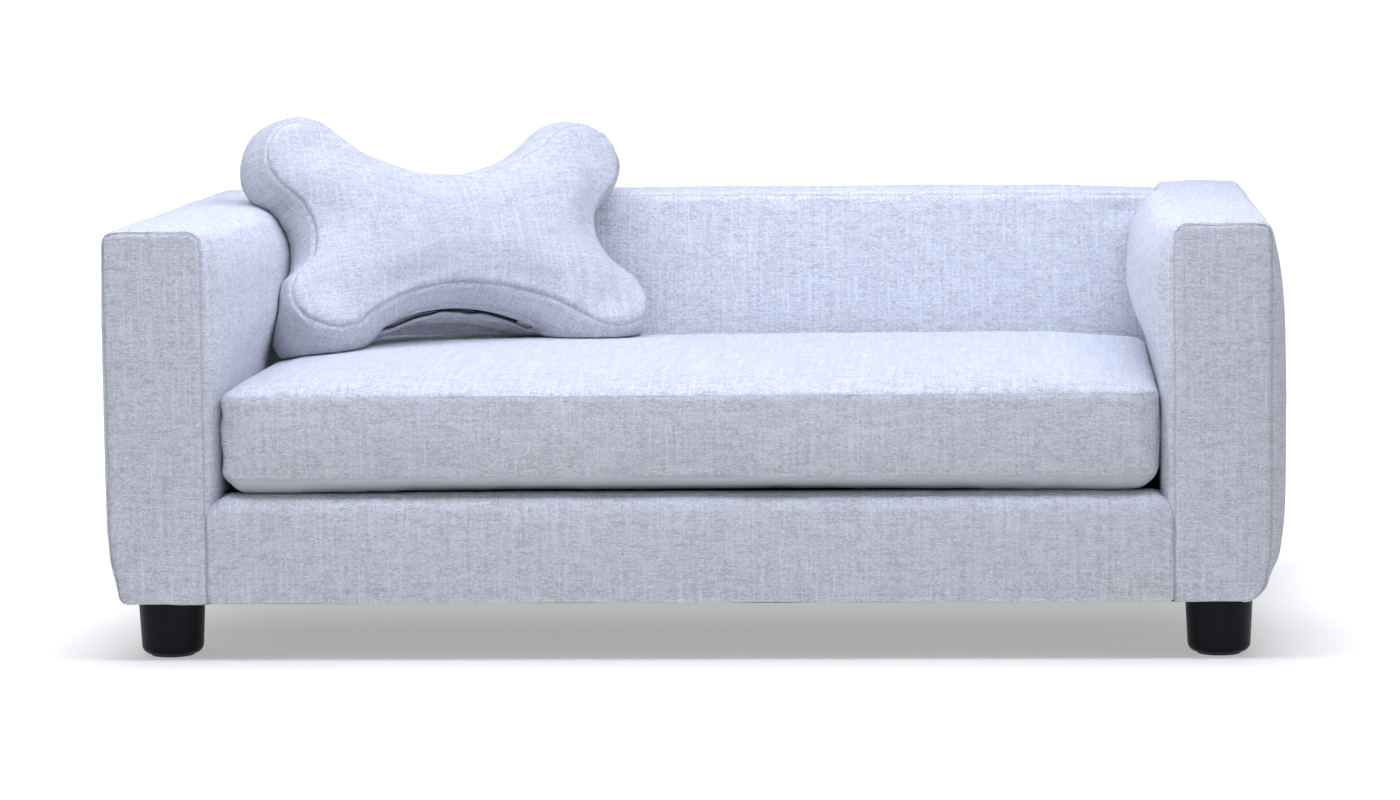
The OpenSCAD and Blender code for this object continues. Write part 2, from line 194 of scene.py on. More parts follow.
def sample_places(run, step, sewn_start, sewn_end):
    """Places along one direction of a panel, in control cells: close together beside a seam.
    run is how far along each control row lies."""
    start = SEAM_ROWS if sewn_start else np.array([0.0])
    end = run[-1] - SEAM_ROWS[::-1] if sewn_end else run[-1:]
    room = end[0] - start[-1]
    middle = np.linspace(start[-1], end[0], max(2, int(round(room / step)) + 1))[1:-1]
    return np.interp(np.concatenate([start, middle, end]), run, np.arange(len(run)))


def run_along(grid, axis):
    """How far along each row of control points lies, on the middle one of the lines through them."""
    return running(np.median(np.linalg.norm(np.diff(grid, axis=axis), axis=2), axis=1 - axis))


def merged(points, tolerance=2e-5):
    """Index of the first point at the same place, for each point, and the kept points."""
    key = np.round(points / tolerance).astype(np.int64)
    _, first, back = np.unique(key, axis=0, return_index=True, return_inverse=True)
    order = np.argsort(first)
    rank = np.empty(len(order), int)
    rank[order] = np.arange(len(order))
    return rank[back.ravel()], first[order]


def grid_faces(ni, nj, start, closed):
    """The four-sided faces of a grid of ni by nj points, the first of them numbered start."""
    i, j = np.meshgrid(np.arange(ni if closed else ni - 1), np.arange(nj - 1), indexing="ij")
    i, j = i.ravel(), j.ravel()
    nxt = (i + 1) % ni
    return start + np.stack([i * nj + j, nxt * nj + j, nxt * nj + j + 1, i * nj + j + 1], 1)


def joined(panels):
    """The panels as one sheet: points, the point kept at each place, faces, and how firmly each is held."""
    points = np.concatenate([p.grid.reshape(-1, 3) for p in panels])
    index, kept = merged(points)
    sides = {"i0": np.s_[0, :], "i1": np.s_[-1, :], "j0": np.s_[:, 0], "j1": np.s_[:, -1]}
    faces, held, start = [], np.zeros(len(points)), 0
    for p in panels:
        ni, nj = p.grid.shape[:2]
        faces.append(grid_faces(ni, nj, start, p.closed))
        mask = np.zeros((ni, nj))
        for edge in p.seams:
            mask[sides[edge]] = 1
        held[start:start + ni * nj] = mask.ravel()
        start += ni * nj
    faces = [list(dict.fromkeys(f)) for f in index[np.concatenate(faces)].tolist()]
    pins = np.zeros(len(kept))
    np.maximum.at(pins, index, held)
    return points[kept], index, [f for f in faces if len(f) > 2], pins


def blown_up(points, faces, pins, pressure, growth, frames):
    """Where Blender's cloth takes the points under pressure, its pinned points held."""
    mesh = bpy.data.meshes.new("cloth_start")
    mesh.from_pydata(points.tolist(), [], faces)
    mesh.validate()
    piece = in_scene("cloth_start", mesh)
    group = piece.vertex_groups.new(name="held")
    for v in np.nonzero(pins)[0]:
        group.add([int(v)], float(pins[v]), "REPLACE")
    cloth = piece.modifiers.new("Cloth", "CLOTH")
    cloth.settings.use_pressure = True
    cloth.settings.uniform_pressure_force = pressure
    cloth.settings.effector_weights.gravity = 0
    cloth.settings.vertex_group_mass = "held"
    cloth.settings.shrink_min = -growth
    cloth.settings.bending_stiffness = 0.5
    cloth.point_cache.frame_start = 1
    cloth.point_cache.frame_end = frames
    for n in range(1, frames + 1):
        bpy.context.scene.frame_set(n)
    done = piece.evaluated_get(bpy.context.evaluated_depsgraph_get()).to_mesh()
    co = np.zeros(len(done.vertices) * 3)
    done.vertices.foreach_get("co", co)
    bpy.data.objects.remove(piece)
    bpy.data.meshes.remove(mesh)
    bpy.context.scene.frame_set(1)
    return co.reshape(-1, 3)


def inflate(panels, cap, growth, even=1, pressure=4.0, frames=20):
    """Blow the panels up, seams held, and move each control point by at most cap. growth is how much the
    cloth may stretch, and even is how many rounds of smoothing the movement gets."""
    points, index, faces, pins = joined(panels)
    move = blown_up(points, faces, pins, pressure, growth, frames) - points
    size = np.linalg.norm(move, axis=1, keepdims=True)
    move *= np.where(size > cap, cap / np.maximum(size, 1e-9), 1)
    move = move[index]
    start = 0
    for p in panels:
        count = p.grid.shape[0] * p.grid.shape[1]
        p.grid = p.grid + relaxed(move[start:start + count].reshape(p.grid.shape), even)
        start += count


def between(values, at_i, at_j):
    """Values of a grid at fractional places, in straight lines between its points."""
    a = np.clip(at_i.astype(int), 0, values.shape[0] - 2)
    b = np.clip(at_j.astype(int), 0, values.shape[1] - 2)
    fa, fb = (at_i - a)[:, None, None], (at_j - b)[None, :, None]
    return ((1 - fa) * (1 - fb) * values[a][:, b] + fa * (1 - fb) * values[a + 1][:, b]
            + (1 - fa) * fb * values[a][:, b + 1] + fa * fb * values[a + 1][:, b + 1])


def run_over(fine, axis):
    """How far each point of a sampled panel lies along it from the start of its own row."""
    step = np.linalg.norm(np.diff(fine, axis=axis), axis=2)
    return np.concatenate([np.zeros_like(np.take(step, [0], axis)), np.cumsum(step, axis)], axis)


def to_seams(fine, seams):
    """How far each point of a sampled panel lies from the nearest of its sewn edges, at most 1 m."""
    across, along = run_over(fine, 0), run_over(fine, 1)
    far = {"i0": across, "i1": across[-1:] - across, "j0": along, "j1": along[:, -1:] - along}
    return np.minimum.reduce([np.ones(across.shape)] + [far[edge] for edge in seams])


def sampled(panel, step):
    """A panel drawn finely: points, how far each is from a seam, faces, and cloth coordinates of corners."""
    ni, nj = panel.grid.shape[:2]
    loop = np.concatenate([panel.grid, panel.grid[:1]]) if panel.closed else panel.grid
    at_i = sample_places(run_along(loop, 0), step, "i0" in panel.seams, "i1" in panel.seams)
    at_j = sample_places(run_along(panel.grid, 1), step, "j0" in panel.seams, "j1" in panel.seams)
    at_i = at_i[:-1] if panel.closed else at_i
    wi, wj = spline_weights(ni, at_i, panel.closed), spline_weights(nj, at_j)
    fine = np.einsum("ai,ijk,bj->abk", wi, panel.grid, wj)
    cells = grid_faces(len(at_i), len(at_j), 0, panel.closed)
    uv = between(panel.uv, np.clip(at_i, 0, ni - 1), at_j).reshape(-1, 2)[cells]
    if panel.closed:
        wrap = cells[:, 1] < cells[:, 0]
        uv[wrap, 1:3] += panel.uv[-1, 0] - panel.uv[0, 0]
    return fine.reshape(-1, 3), to_seams(fine, panel.seams).ravel(), cells, uv


def worn(co, normal, away, edge, pucker, wave, seed):
    """Sewn points moved as cloth in use: grooved and rolled at seams, puckered beside them, else uneven."""
    lift = -edge * np.exp(-(away / GROOVE) ** 2)
    lift += ROLL_SHARE * edge * np.exp(-((away - ROLL_AT) / ROLL_WIDE) ** 2)
    lift += pucker * noise3(co, PUCKER_SIZE, seed) * np.exp(-away / PUCKER_REACH)
    slow = sum(share * noise3(co, size, seed + k) for k, size, share in WAVES)
    lift += wave * slow * smooth(away / WAVE_FROM)
    stray = np.stack([noise3(co, STRAY_SIZE, seed + k) for k in (3, 4, 5)], 1) * STRAY_MOST
    return co + normal * lift[:, None] + stray * np.exp(-away / STRAY_REACH)[:, None]


def sew(name, panels, body, replaced, step=5 * MM, seed=1, edge=1.3 * MM, pucker=0.7 * MM, wave=1.0 * MM,
        tone=1.0, shape=None, fabric=None):
    """The finished piece: panels sampled finely and joined, with rolled seams, puckers and soft unevenness.
    tone is how dark the line along its seams is, partly thread and partly painted shade, and shape moves the
    points last."""
    points, near, faces, uvs = zip(*(sampled(p, step) for p in panels))
    starts = np.cumsum([0] + [len(p) for p in points])
    lining = np.concatenate([np.full(len(f), float(p.lining)) for p, f in zip(panels, faces)])
    points, near = np.concatenate(points), np.concatenate(near)
    faces = np.concatenate([f + start for f, start in zip(faces, starts)])
    index, kept = merged(points)
    away = np.full(len(kept), 1.0)
    np.minimum.at(away, index, near)
    co = points[kept]
    mesh = bpy.data.meshes.new(name)
    mesh.from_pydata(co.tolist(), [], index[faces].tolist())
    cloth = mesh.uv_layers.new(name="cloth")
    cloth.data.foreach_set("uv", np.concatenate(uvs).astype(np.float32).ravel())
    normal = np.zeros(len(mesh.vertices) * 3)
    mesh.vertices.foreach_get("normal", normal)
    co = worn(co, normal.reshape(-1, 3), away, edge, pucker, wave, seed)
    if shape is not None:
        co = shape(co)
    mesh.vertices.foreach_set("co", co.astype(np.float32).ravel())
    # the dark seam line: partly thread, partly painted shade in the seam's groove
    seam = mesh.attributes.new("seam", "FLOAT", "POINT")
    seam.data.foreach_set("value", (tone * np.exp(-(away / SEAM_DARK_HALF) ** 2)).astype(np.float32))
    plain = mesh.attributes.new("lining", "FLOAT", "FACE")
    plain.data.foreach_set("value", lining.astype(np.float32))
    mesh.validate()
    piece = finished(name, mesh, fabric or FABRIC, body, replaced)
    return piece


def in_scene(name, data):
    """A new object of the data, in the scene."""
    thing = bpy.data.objects.new(name, data)
    bpy.context.scene.collection.objects.link(thing)
    return thing


def finished(name, mesh, material, body, replaced=()):
    """A smooth-shaded object of the mesh, riding on its body."""
    mesh.update()
    mesh.polygons.foreach_set("use_smooth", [True] * len(mesh.polygons))
    mesh.materials.append(material)
    piece = in_scene(name, mesh)
    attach(piece, body)
    if replaced:
        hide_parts(*replaced)
    return piece


def plain_mesh(name, points, faces):
    """A mesh of the given points and faces, with nothing else on it."""
    mesh = bpy.data.meshes.new(name)
    mesh.from_pydata(np.asarray(points).reshape(-1, 3).tolist(), [], np.asarray(faces).tolist())
    return mesh


REACH = 80 * MM         # how deep in a neighbour a point may lie and still be pushed out


def made_room(co, pieces, gap, rounds=3):
    """Points pushed out of the pieces they lie in, to gap in front of the nearest surface."""
    co = co.copy()
    trees = [BVHTree.FromPolygons([v.co for v in o.data.vertices], [p.vertices for p in o.data.polygons])
             for o in pieces]
    for _ in range(rounds):
        for tree in trees:
            for k, place in enumerate(co):
                nearest, normal, _face, far = tree.find_nearest(Vector(place), REACH)
                if nearest is None:
                    continue
                out = (Vector(place) - nearest).dot(normal)
                if out < 0 or (out < gap * 0.5 and far < gap):
                    co[k] = nearest + normal * gap
    return co


def flat_uv(grid, across, along, shift):
    """Cloth coordinates of a flat panel: two axes of its points, in metres."""
    return np.stack([grid[..., across] + shift[0], grid[..., along] + shift[1]], -1)


def run_uv(grid, shift):
    """Cloth coordinates that follow the surface: across it by its first index, along by its second."""
    u = running(steps(grid).mean(1))
    v = running(np.linalg.norm(np.diff(grid, axis=1), axis=2).mean(0))
    return np.stack(np.broadcast_arrays(u[:, None] + shift[0], v[None, :] + shift[1]), -1)


# ---------------------------------------------------------------- materials

class Nodes:
    """Short names for building a node tree."""

    def __init__(self, name):
        self.material = bpy.data.materials.new(name)
        self.material.use_nodes = True
        self.tree = self.material.node_tree
        self.shader = self.tree.nodes["Principled BSDF"]

    def add(self, kind, **settings):
        node = self.tree.nodes.new(kind)
        for key, value in settings.items():
            setattr(node, key, value)
        return node

    def put(self, socket, value):
        if isinstance(value, bpy.types.NodeSocket):
            self.tree.links.new(value, socket)
        elif value is not None:
            socket.default_value = value

    def math(self, operation, a, b=None, c=None, clamp=False):
        node = self.add("ShaderNodeMath", operation=operation, use_clamp=clamp)
        for socket, value in zip(node.inputs, (a, b, c)):
            self.put(socket, value)
        return node.outputs[0]

    def ramp(self, value, low, high, out_low=0.0, out_high=1.0):
        node = self.add("ShaderNodeMapRange", interpolation_type="SMOOTHSTEP")
        for socket, number in zip(node.inputs, (value, low, high, out_low, out_high)):
            self.put(socket, number)
        return node.outputs[0]

    def mix(self, factor, a, b):
        node = self.add("ShaderNodeMix", data_type="RGBA", blend_type="MIX")
        self.put(node.inputs["Factor"], factor)
        self.put(node.inputs[6], a)
        self.put(node.inputs[7], b)
        return node.outputs[2]

    def vector(self, operation, *values):
        node = self.add("ShaderNodeVectorMath", operation=operation)
        for socket, value in zip(node.inputs, values):
            self.put(socket, value)
        return node.outputs

    def scaled(self, vector, scale):
        return self.vector("MULTIPLY", vector, scale)[0]

    def moved(self, by, amount, vector):
        """vector moved by amount times the value of by."""
        return self.vector("MULTIPLY_ADD", by, amount, vector)[0]

    def near_middle(self, value, width):
        """1 where a noise crosses 0.5, falling to 0 at width either side: thin winding lines."""
        return self.ramp(self.math("ABSOLUTE", self.math("SUBTRACT", value, 0.5)), width, 0.0)

    def streaks(self, place, size, detail=1, rough=0.5):
        """Flat noise whose features have the given size, in millimetres, across and along the cloth."""
        stretched = self.scaled(place, (1 / size[0], 1 / size[1], 1))
        return self.noise(stretched, 1.0, detail, rough, "2D").outputs["Fac"]

    def noise(self, vector, scale, detail=2.0, rough=0.5, dims="3D"):
        node = self.add("ShaderNodeTexNoise", noise_dimensions=dims)
        self.put(node.inputs["Vector"], vector)
        node.inputs["Scale"].default_value = scale
        node.inputs["Detail"].default_value = detail
        node.inputs["Roughness"].default_value = rough
        return node

    def bump(self, height, strength, distance):
        node = self.add("ShaderNodeBump")
        node.inputs["Strength"].default_value = strength
        node.inputs["Distance"].default_value = distance
        self.put(node.inputs["Height"], height)
        self.put(self.shader.inputs["Normal"], node.outputs[0])

    def set(self, **values):
        for key, value in values.items():
            self.put(self.shader.inputs[key.replace("_", " ")], value)


def rgb(r, g, b):
    """An opaque colour, as a socket takes it."""
    return (r, g, b, 1.0)


def chenille(name, shade):
    """Slubbed boucle cloth: rows of short wavy loops with furrows between them, paler slub yarns down the
    cloth, and warm grey flecks in the furrows, partly grey yarn and partly painted shade. Sizes in it are
    millimetres of cloth."""
    n = Nodes(name)
    mm = n.scaled(n.add("ShaderNodeUVMap", uv_map="cloth").outputs[0], (1000, 1000, 1000))
    sway = n.noise(mm, 0.05, 1, dims="2D").outputs["Color"]
    kinks = n.noise(mm, 0.30, 1, dims="2D").outputs["Color"]
    cloth = n.moved(kinks, (1.8, 1.5, 0), n.moved(sway, (3.0, 2.4, 0), mm))
    warp = n.moved(kinks, (1.1, 0, 0), mm)

    furrow = n.near_middle(n.streaks(cloth, (9, 2.8), rough=0.55), 0.10)
    patch = n.streaks(mm, (18, 9), 2, 0.6)
    slub = n.ramp(n.streaks(warp, (2.6, 55)), 0.56, 0.74)
    column = n.streaks(warp, (7, 160), 2, 0.6)
    row = n.streaks(cloth, (45, 2.6))
    fuzz = n.streaks(cloth, (1 / 0.42, 1 / 0.56), 3, 0.75)
    curl = n.near_middle(n.streaks(cloth, (1 / 0.30, 1 / 0.42)), 0.055)
    depth = n.math("MULTIPLY", furrow, n.ramp(patch, 0.30, 0.62, 0.25, 1.0))
    depth = n.math("MULTIPLY", depth, n.math("MULTIPLY_ADD", slub, -0.6, 1.0))

    tone = n.math("MULTIPLY_ADD", n.math("SUBTRACT", fuzz, 0.5), 1.5, 0.47)
    tone = n.math("MULTIPLY_ADD", n.math("SUBTRACT", column, 0.5), 0.38, tone)
    tone = n.math("MULTIPLY_ADD", n.math("SUBTRACT", row, 0.5), 0.50, tone)
    tone = n.math("MULTIPLY_ADD", curl, 0.48, tone)
    tone = n.math("MULTIPLY_ADD", slub, 0.17, tone, True)
    # shade below 1 darkens the whole cloth: painted shade
    pale, deep = np.array((0.90, 0.915, 0.945)) * shade, np.array((0.56, 0.57, 0.63)) * shade
    colour = n.mix(tone, rgb(*deep), rgb(*pale))
    # Furrows darkened towards warm grey: partly the grey yarn showing between the loops, partly painted shade
    # in the furrows.
    warm = n.mix(n.ramp(patch, 0.45, 0.70), rgb(0.36, 0.38, 0.46), rgb(0.42, 0.395, 0.375))
    colour = n.mix(n.math("MULTIPLY", depth, 0.50), colour, warm)
    seam = n.add("ShaderNodeAttribute", attribute_name="seam").outputs["Fac"]
    # Dark line along each seam: partly the thread, partly painted shade in the seam's groove.
    seam_thread_and_shade = n.math("MULTIPLY", seam, n.ramp(fuzz, 0.35, 0.65, 0.15, 0.65))
    colour = n.mix(seam_thread_and_shade, colour, rgb(0.30, 0.26, 0.24))
    lining = n.add("ShaderNodeAttribute", attribute_name="lining").outputs["Fac"]
    colour = n.mix(lining, colour, n.mix(fuzz, rgb(0.52, 0.53, 0.54), rgb(0.62, 0.63, 0.64)))

    height = n.math("MULTIPLY_ADD", fuzz, 0.75, n.math("MULTIPLY", depth, -0.6))
    height = n.math("MULTIPLY_ADD", curl, 0.35, height)
    height = n.math("MULTIPLY_ADD", slub, 0.40, height)
    height = n.math("MULTIPLY", height, n.math("MULTIPLY_ADD", lining, -0.8, 1.0))
    n.set(Base_Color=colour, Roughness=0.95, Specular_IOR_Level=0.12, Sheen_Weight=0.22, Sheen_Roughness=0.5,
          Sheen_Tint=rgb(0.88, 0.92, 1.0))
    n.bump(height, 0.60, 1.1 * MM)
    return n.material


def simple(name, dark, light, scale, rough, stretch=(1, 1, 1), metallic=0.0, strength=0.2, distance=0.2 * MM,
           spread=0.08, specular=0.5):
    """A material with fine colour variation, uneven roughness and a slight bump along its own grain."""
    n = Nodes(name)
    place = n.add("ShaderNodeTexCoord").outputs["Object"]
    grain = n.noise(n.scaled(place, stretch), scale, 3, 0.6).outputs["Fac"]
    n.set(Base_Color=n.mix(grain, rgb(*dark), rgb(*light)), Metallic=metallic, Specular_IOR_Level=specular,
          Roughness=n.ramp(grain, 0.2, 0.8, rough - spread, rough + spread))
    n.bump(grain, strength, distance)
    return n.material


def weave(name, dark, light, pitch):
    """Plain flat weave: threads that cross along the three axes, pitch apart."""
    n = Nodes(name)
    place = n.add("ShaderNodeTexCoord").outputs["Object"]
    threads = []
    for direction in ("X", "Y", "Z"):
        wave = n.add("ShaderNodeTexWave", wave_type="BANDS", bands_direction=direction)
        n.put(wave.inputs["Vector"], place)
        wave.inputs["Scale"].default_value = 0.314 / pitch
        wave.inputs["Distortion"].default_value = 0.6
        threads.append(wave.outputs["Fac"])
    both = n.math("MULTIPLY", n.math("ADD", n.math("ADD", threads[0], threads[1]), threads[2]), 0.34)
    n.set(Base_Color=n.mix(both, rgb(*dark), rgb(*light)), Roughness=0.9)
    n.bump(both, 0.4, 0.2 * MM)
    return n.material


FABRIC = chenille("chenille", 1.0)
# The pillow's cloth is the same chenille darkened to 0.88: painted shade, since the lamps light it brighter
# than it looks.
PILLOW_SHADED_FABRIC = chenille("pillow_chenille_painted_shade", 0.88)
TIMBER = simple("planed_pine", (0.45, 0.30, 0.17), (0.66, 0.49, 0.30), 60, 0.6, (0.15, 1, 1))
PLYWOOD = simple("birch_plywood", (0.50, 0.35, 0.21), (0.68, 0.52, 0.34), 40, 0.62, (1, 0.2, 1))
FOAM = simple("foam", (0.72, 0.66, 0.48), (0.86, 0.80, 0.64), 900, 0.95, strength=0.6, distance=0.6 * MM)
BLACK_CLOTH = weave("black_cambric", (0.008, 0.008, 0.01), (0.03, 0.03, 0.034), 1.2 * MM)
LEG_PLASTIC = simple("black_leg_plastic", (0.004, 0.005, 0.008), (0.007, 0.008, 0.012), 350, 0.36,
                     strength=0.06, distance=0.1 * MM, spread=0.05, specular=0.14)
ZINC = simple("zinc_steel", (0.52, 0.53, 0.55), (0.70, 0.71, 0.73), 300, 0.38, metallic=1.0, strength=0.05)
ZIP_CLOTH = weave("navy_zip_tape", (0.010, 0.013, 0.035), (0.03, 0.035, 0.07), 0.6 * MM)
ZIP_COIL = simple("navy_zip_coil", (0.010, 0.012, 0.030), (0.022, 0.026, 0.052), 900, 0.42, strength=0.1)
RUBBER = simple("glide_rubber", (0.030, 0.030, 0.032), (0.050, 0.050, 0.052), 500, 0.8, strength=0.3)

BY_SLOT = {"timber": TIMBER, "plywood": PLYWOOD, "foam": FOAM, "black_cloth": BLACK_CLOTH,
           "leg_plastic": LEG_PLASTIC, "zinc_steel": ZINC, "zip_cloth": ZIP_CLOTH, "zip_coil": ZIP_COIL,
           "glide_rubber": RUBBER, "upholstery": FABRIC}
for entry in frame["record"]["subparts"]:
    mesh = NODES[entry["node"]].data
    mesh.materials.clear()
    mesh.materials.append(BY_SLOT[entry["material_slot"]])


# ---------------------------------------------------------------- camera, floor and light

def place_camera():
    """A long lens a little right of the middle and above the bed, turned and tipped slightly towards it."""
    yaw, pitch, roll = math.radians(4.02), math.radians(6.02), math.radians(-0.75)
    forward = Vector((-math.sin(yaw) * math.cos(pitch), math.cos(yaw) * math.cos(pitch), -math.sin(pitch)))
    right = Vector((math.cos(yaw), math.sin(yaw), 0))
    up = right.cross(forward)
    right, up = (math.cos(roll) * right + math.sin(roll) * up, -math.sin(roll) * right + math.cos(roll) * up)
    data = bpy.data.cameras.new("camera")
    data.sensor_width = 36
    data.lens = 119.3
    data.clip_end = 200
    camera = in_scene("camera", data)
    turn = Matrix((right, up, -forward)).transposed().to_4x4()
    camera.matrix_world = Matrix.Translation((0.294, -4.302, 0.652)) @ turn
    bpy.context.scene.camera = camera


def place_floor():
    """A grey floor that glows, as painted light: dim under the object, white further out where only the
    camera sees it.
    The camera-only glow paints a soft shadow round the object, lighter towards its rear, and a faint glow for
    every ray also lights the object.
    """
    n = Nodes("glowing_floor")
    n.set(Base_Color=rgb(0.65, 0.625, 0.585), Roughness=0.9, Specular_IOR_Level=0.1,
          Emission_Color=rgb(1, 1, 1))
    half = (Vector(CAD_BOX[1]) - Vector(CAD_BOX[0])) / 2
    place = n.add("ShaderNodeTexCoord").outputs["Object"]
    outside = n.vector("SUBTRACT", n.vector("ABSOLUTE", place)[0], (half[X] - 0.02, half[Y] - 0.02, 0))[0]
    away = n.vector("LENGTH", n.vector("MAXIMUM", outside, (0, 0, 0))[0])["Value"]
    seen = n.add("ShaderNodeLightPath").outputs["Is Camera Ray"]
    # camera-only glow rising away from the footprint: a painted soft shadow round the object
    white = n.math("ADD", n.ramp(away, 0.0, 0.14, 0.08, 0.34), n.ramp(away, 0.10, 1.2, 0.0, 0.36))
    depth = n.add("ShaderNodeSeparateXYZ")
    n.put(depth.inputs[0], place)
    # more camera-only glow towards the rear: painted lighter shade under the object's rear
    white = n.math("ADD", white, n.ramp(depth.outputs["Y"], -0.15, 0.05, 0.0, 0.10))
    # a glow of 0.30 for every ray: painted light that also falls on the object
    n.set(Emission_Strength=n.math("MULTIPLY_ADD", white, seen, 0.30))
    size = 60
    mesh = bpy.data.meshes.new("floor")
    corners = [(-size, -size, 0), (size, -size, 0), (size, size, 0), (-size, size, 0)]
    mesh.from_pydata(corners, [], [(0, 1, 2, 3)])
    mesh.materials.append(n.material)
    floor = in_scene("floor", mesh)


def area_light(name, place, target, size, power, colour):
    """A rectangular lamp at place that faces target and is not seen by the camera."""
    data = bpy.data.lights.new(name, "AREA")
    data.shape = "RECTANGLE"
    data.size, data.size_y = size
    data.energy = power
    data.color = colour
    lamp = in_scene(name, data)
    lamp.visible_camera = False
    lamp.location = place
    lamp.rotation_euler = (Vector(target) - Vector(place)).to_track_quat("-Z", "Y").to_euler()


def place_lights():
    """Wide soft lamps above, in front, at both sides and behind, and a dim sky that looks white."""
    world = bpy.data.worlds.new("studio")
    world.use_nodes = True
    tree = world.node_tree
    sky = tree.nodes["Background"]
    sky.inputs[0].default_value = rgb(1, 1, 1)
    seen = tree.nodes.new("ShaderNodeLightPath").outputs["Is Camera Ray"]
    strength = tree.nodes.new("ShaderNodeMapRange")
    tree.links.new(seen, strength.inputs["Value"])
    strength.inputs["To Min"].default_value = 0.12
    tree.links.new(strength.outputs[0], sky.inputs[1])
    bpy.context.scene.world = world
    cool = (0.895, 0.96, 1.16)
    middle = (0, 0, 0.2)
    for lamp in (("overhead", (0, 0.2, 1.7), (0, 0.2, 0), (2.6, 0.5), 13.5),
                 ("front", (0, -0.50, 1.2), (0, 0.2, 0.25), (2.0, 0.3), 13.5),
                 ("fill", (0, -2.6, 0.35), middle, (2.4, 0.5), 6.5),
                 ("left", (-2.6, -0.6, 1.6), middle, (1.6, 1.6), 9.0),
                 ("right", (2.6, -0.6, 1.6), middle, (1.6, 1.6), 4.5),
                 ("rear", (0, 3.0, 1.8), middle, (2.6, 1.6), 14.0)):
        area_light(*lamp, cool)
    bpy.context.scene.view_settings.view_transform = "Standard"
    bpy.context.scene.view_settings.look = "None"


place_camera()
place_floor()
place_lights()


# ---------------------------------------------------------------- arms

FRONT_LO, FRONT_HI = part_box("right_arm_front_cover")
ARM_IN, ARM_OUT = FRONT_LO[X], FRONT_HI[X]
BASE, TOP = FRONT_LO[Z], FRONT_HI[Z]
FRONT_Y = FRONT_LO[Y]
REAR_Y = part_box("right_arm_cover")[1][Y]
BACK_LO, BACK_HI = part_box("back_cover")
RAIL_LO, RAIL_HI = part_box("front_rail_cover")
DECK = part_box("deck_cloth")[1][Z]
CELL = 12 * MM                       # spacing of control points along an arm
SEAM_OUT = ARM_OUT - 3 * MM          # the outer seams of the front and rear panels
ARM_RISE = 4.5 * MM                  # wadding lifts the top of each arm
CUSHION_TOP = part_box("seat_cushion_cover")[1][Z]


def arm_ring(taper, bottom_r, spread):
    """Section of the right arm, from its inner lower corner up, over and down to the outer lower corner.
    The outer face leans in by taper towards its foot, and the whole of it stands out by spread."""
    r = 9 * MM
    seam = SEAM_OUT + spread
    foot = seam - taper
    return np.concatenate([
        [[ARM_IN, BASE]],
        arc((ARM_IN + r, TOP - r), r, 180, 90, 6),
        arc((seam - r, TOP - r), r, 90, 0, 6),
        [[seam, BASE + 70 * MM], [seam - taper * 0.22, BASE + 38 * MM]],
        arc((foot - bottom_r, BASE + bottom_r), bottom_r, 0, -90, 5)])


def arm_puff(y, z, amount, crest):
    """How far the inner face stands out towards the seat: a little along its whole height, and a roll of
    wadding above the cushion."""
    flat = 11 * MM
    near = flat * ease((y - FRONT_Y) / 0.030) * ease((TOP - z + 2 * MM) / 0.045)
    up = smooth((z - CUSHION_TOP + 18 * MM) / 0.062)
    over = np.clip((z - crest) / (TOP + 3 * MM - crest), 0, 1)
    roll = up * np.sqrt(1 - over ** 2) * ease((y - FRONT_Y) / 0.26) ** 1.2
    out = np.maximum(near, 0) + (amount - flat) * roll
    return out * smooth((BACK_LO[Y] + 6 * MM - y) / 0.028) * smooth((z - BASE) / 0.03)


def rows_between(start, end, close, middle):
    """Distances from start to end: close together at both ends, middle apart between them."""
    room = end - start - 2 * close[-1]
    inner = np.linspace(0, room, int(round(room / middle)) + 1)[1:-1]
    return np.concatenate([start + close, start + close[-1] + inner, end - close[::-1]])


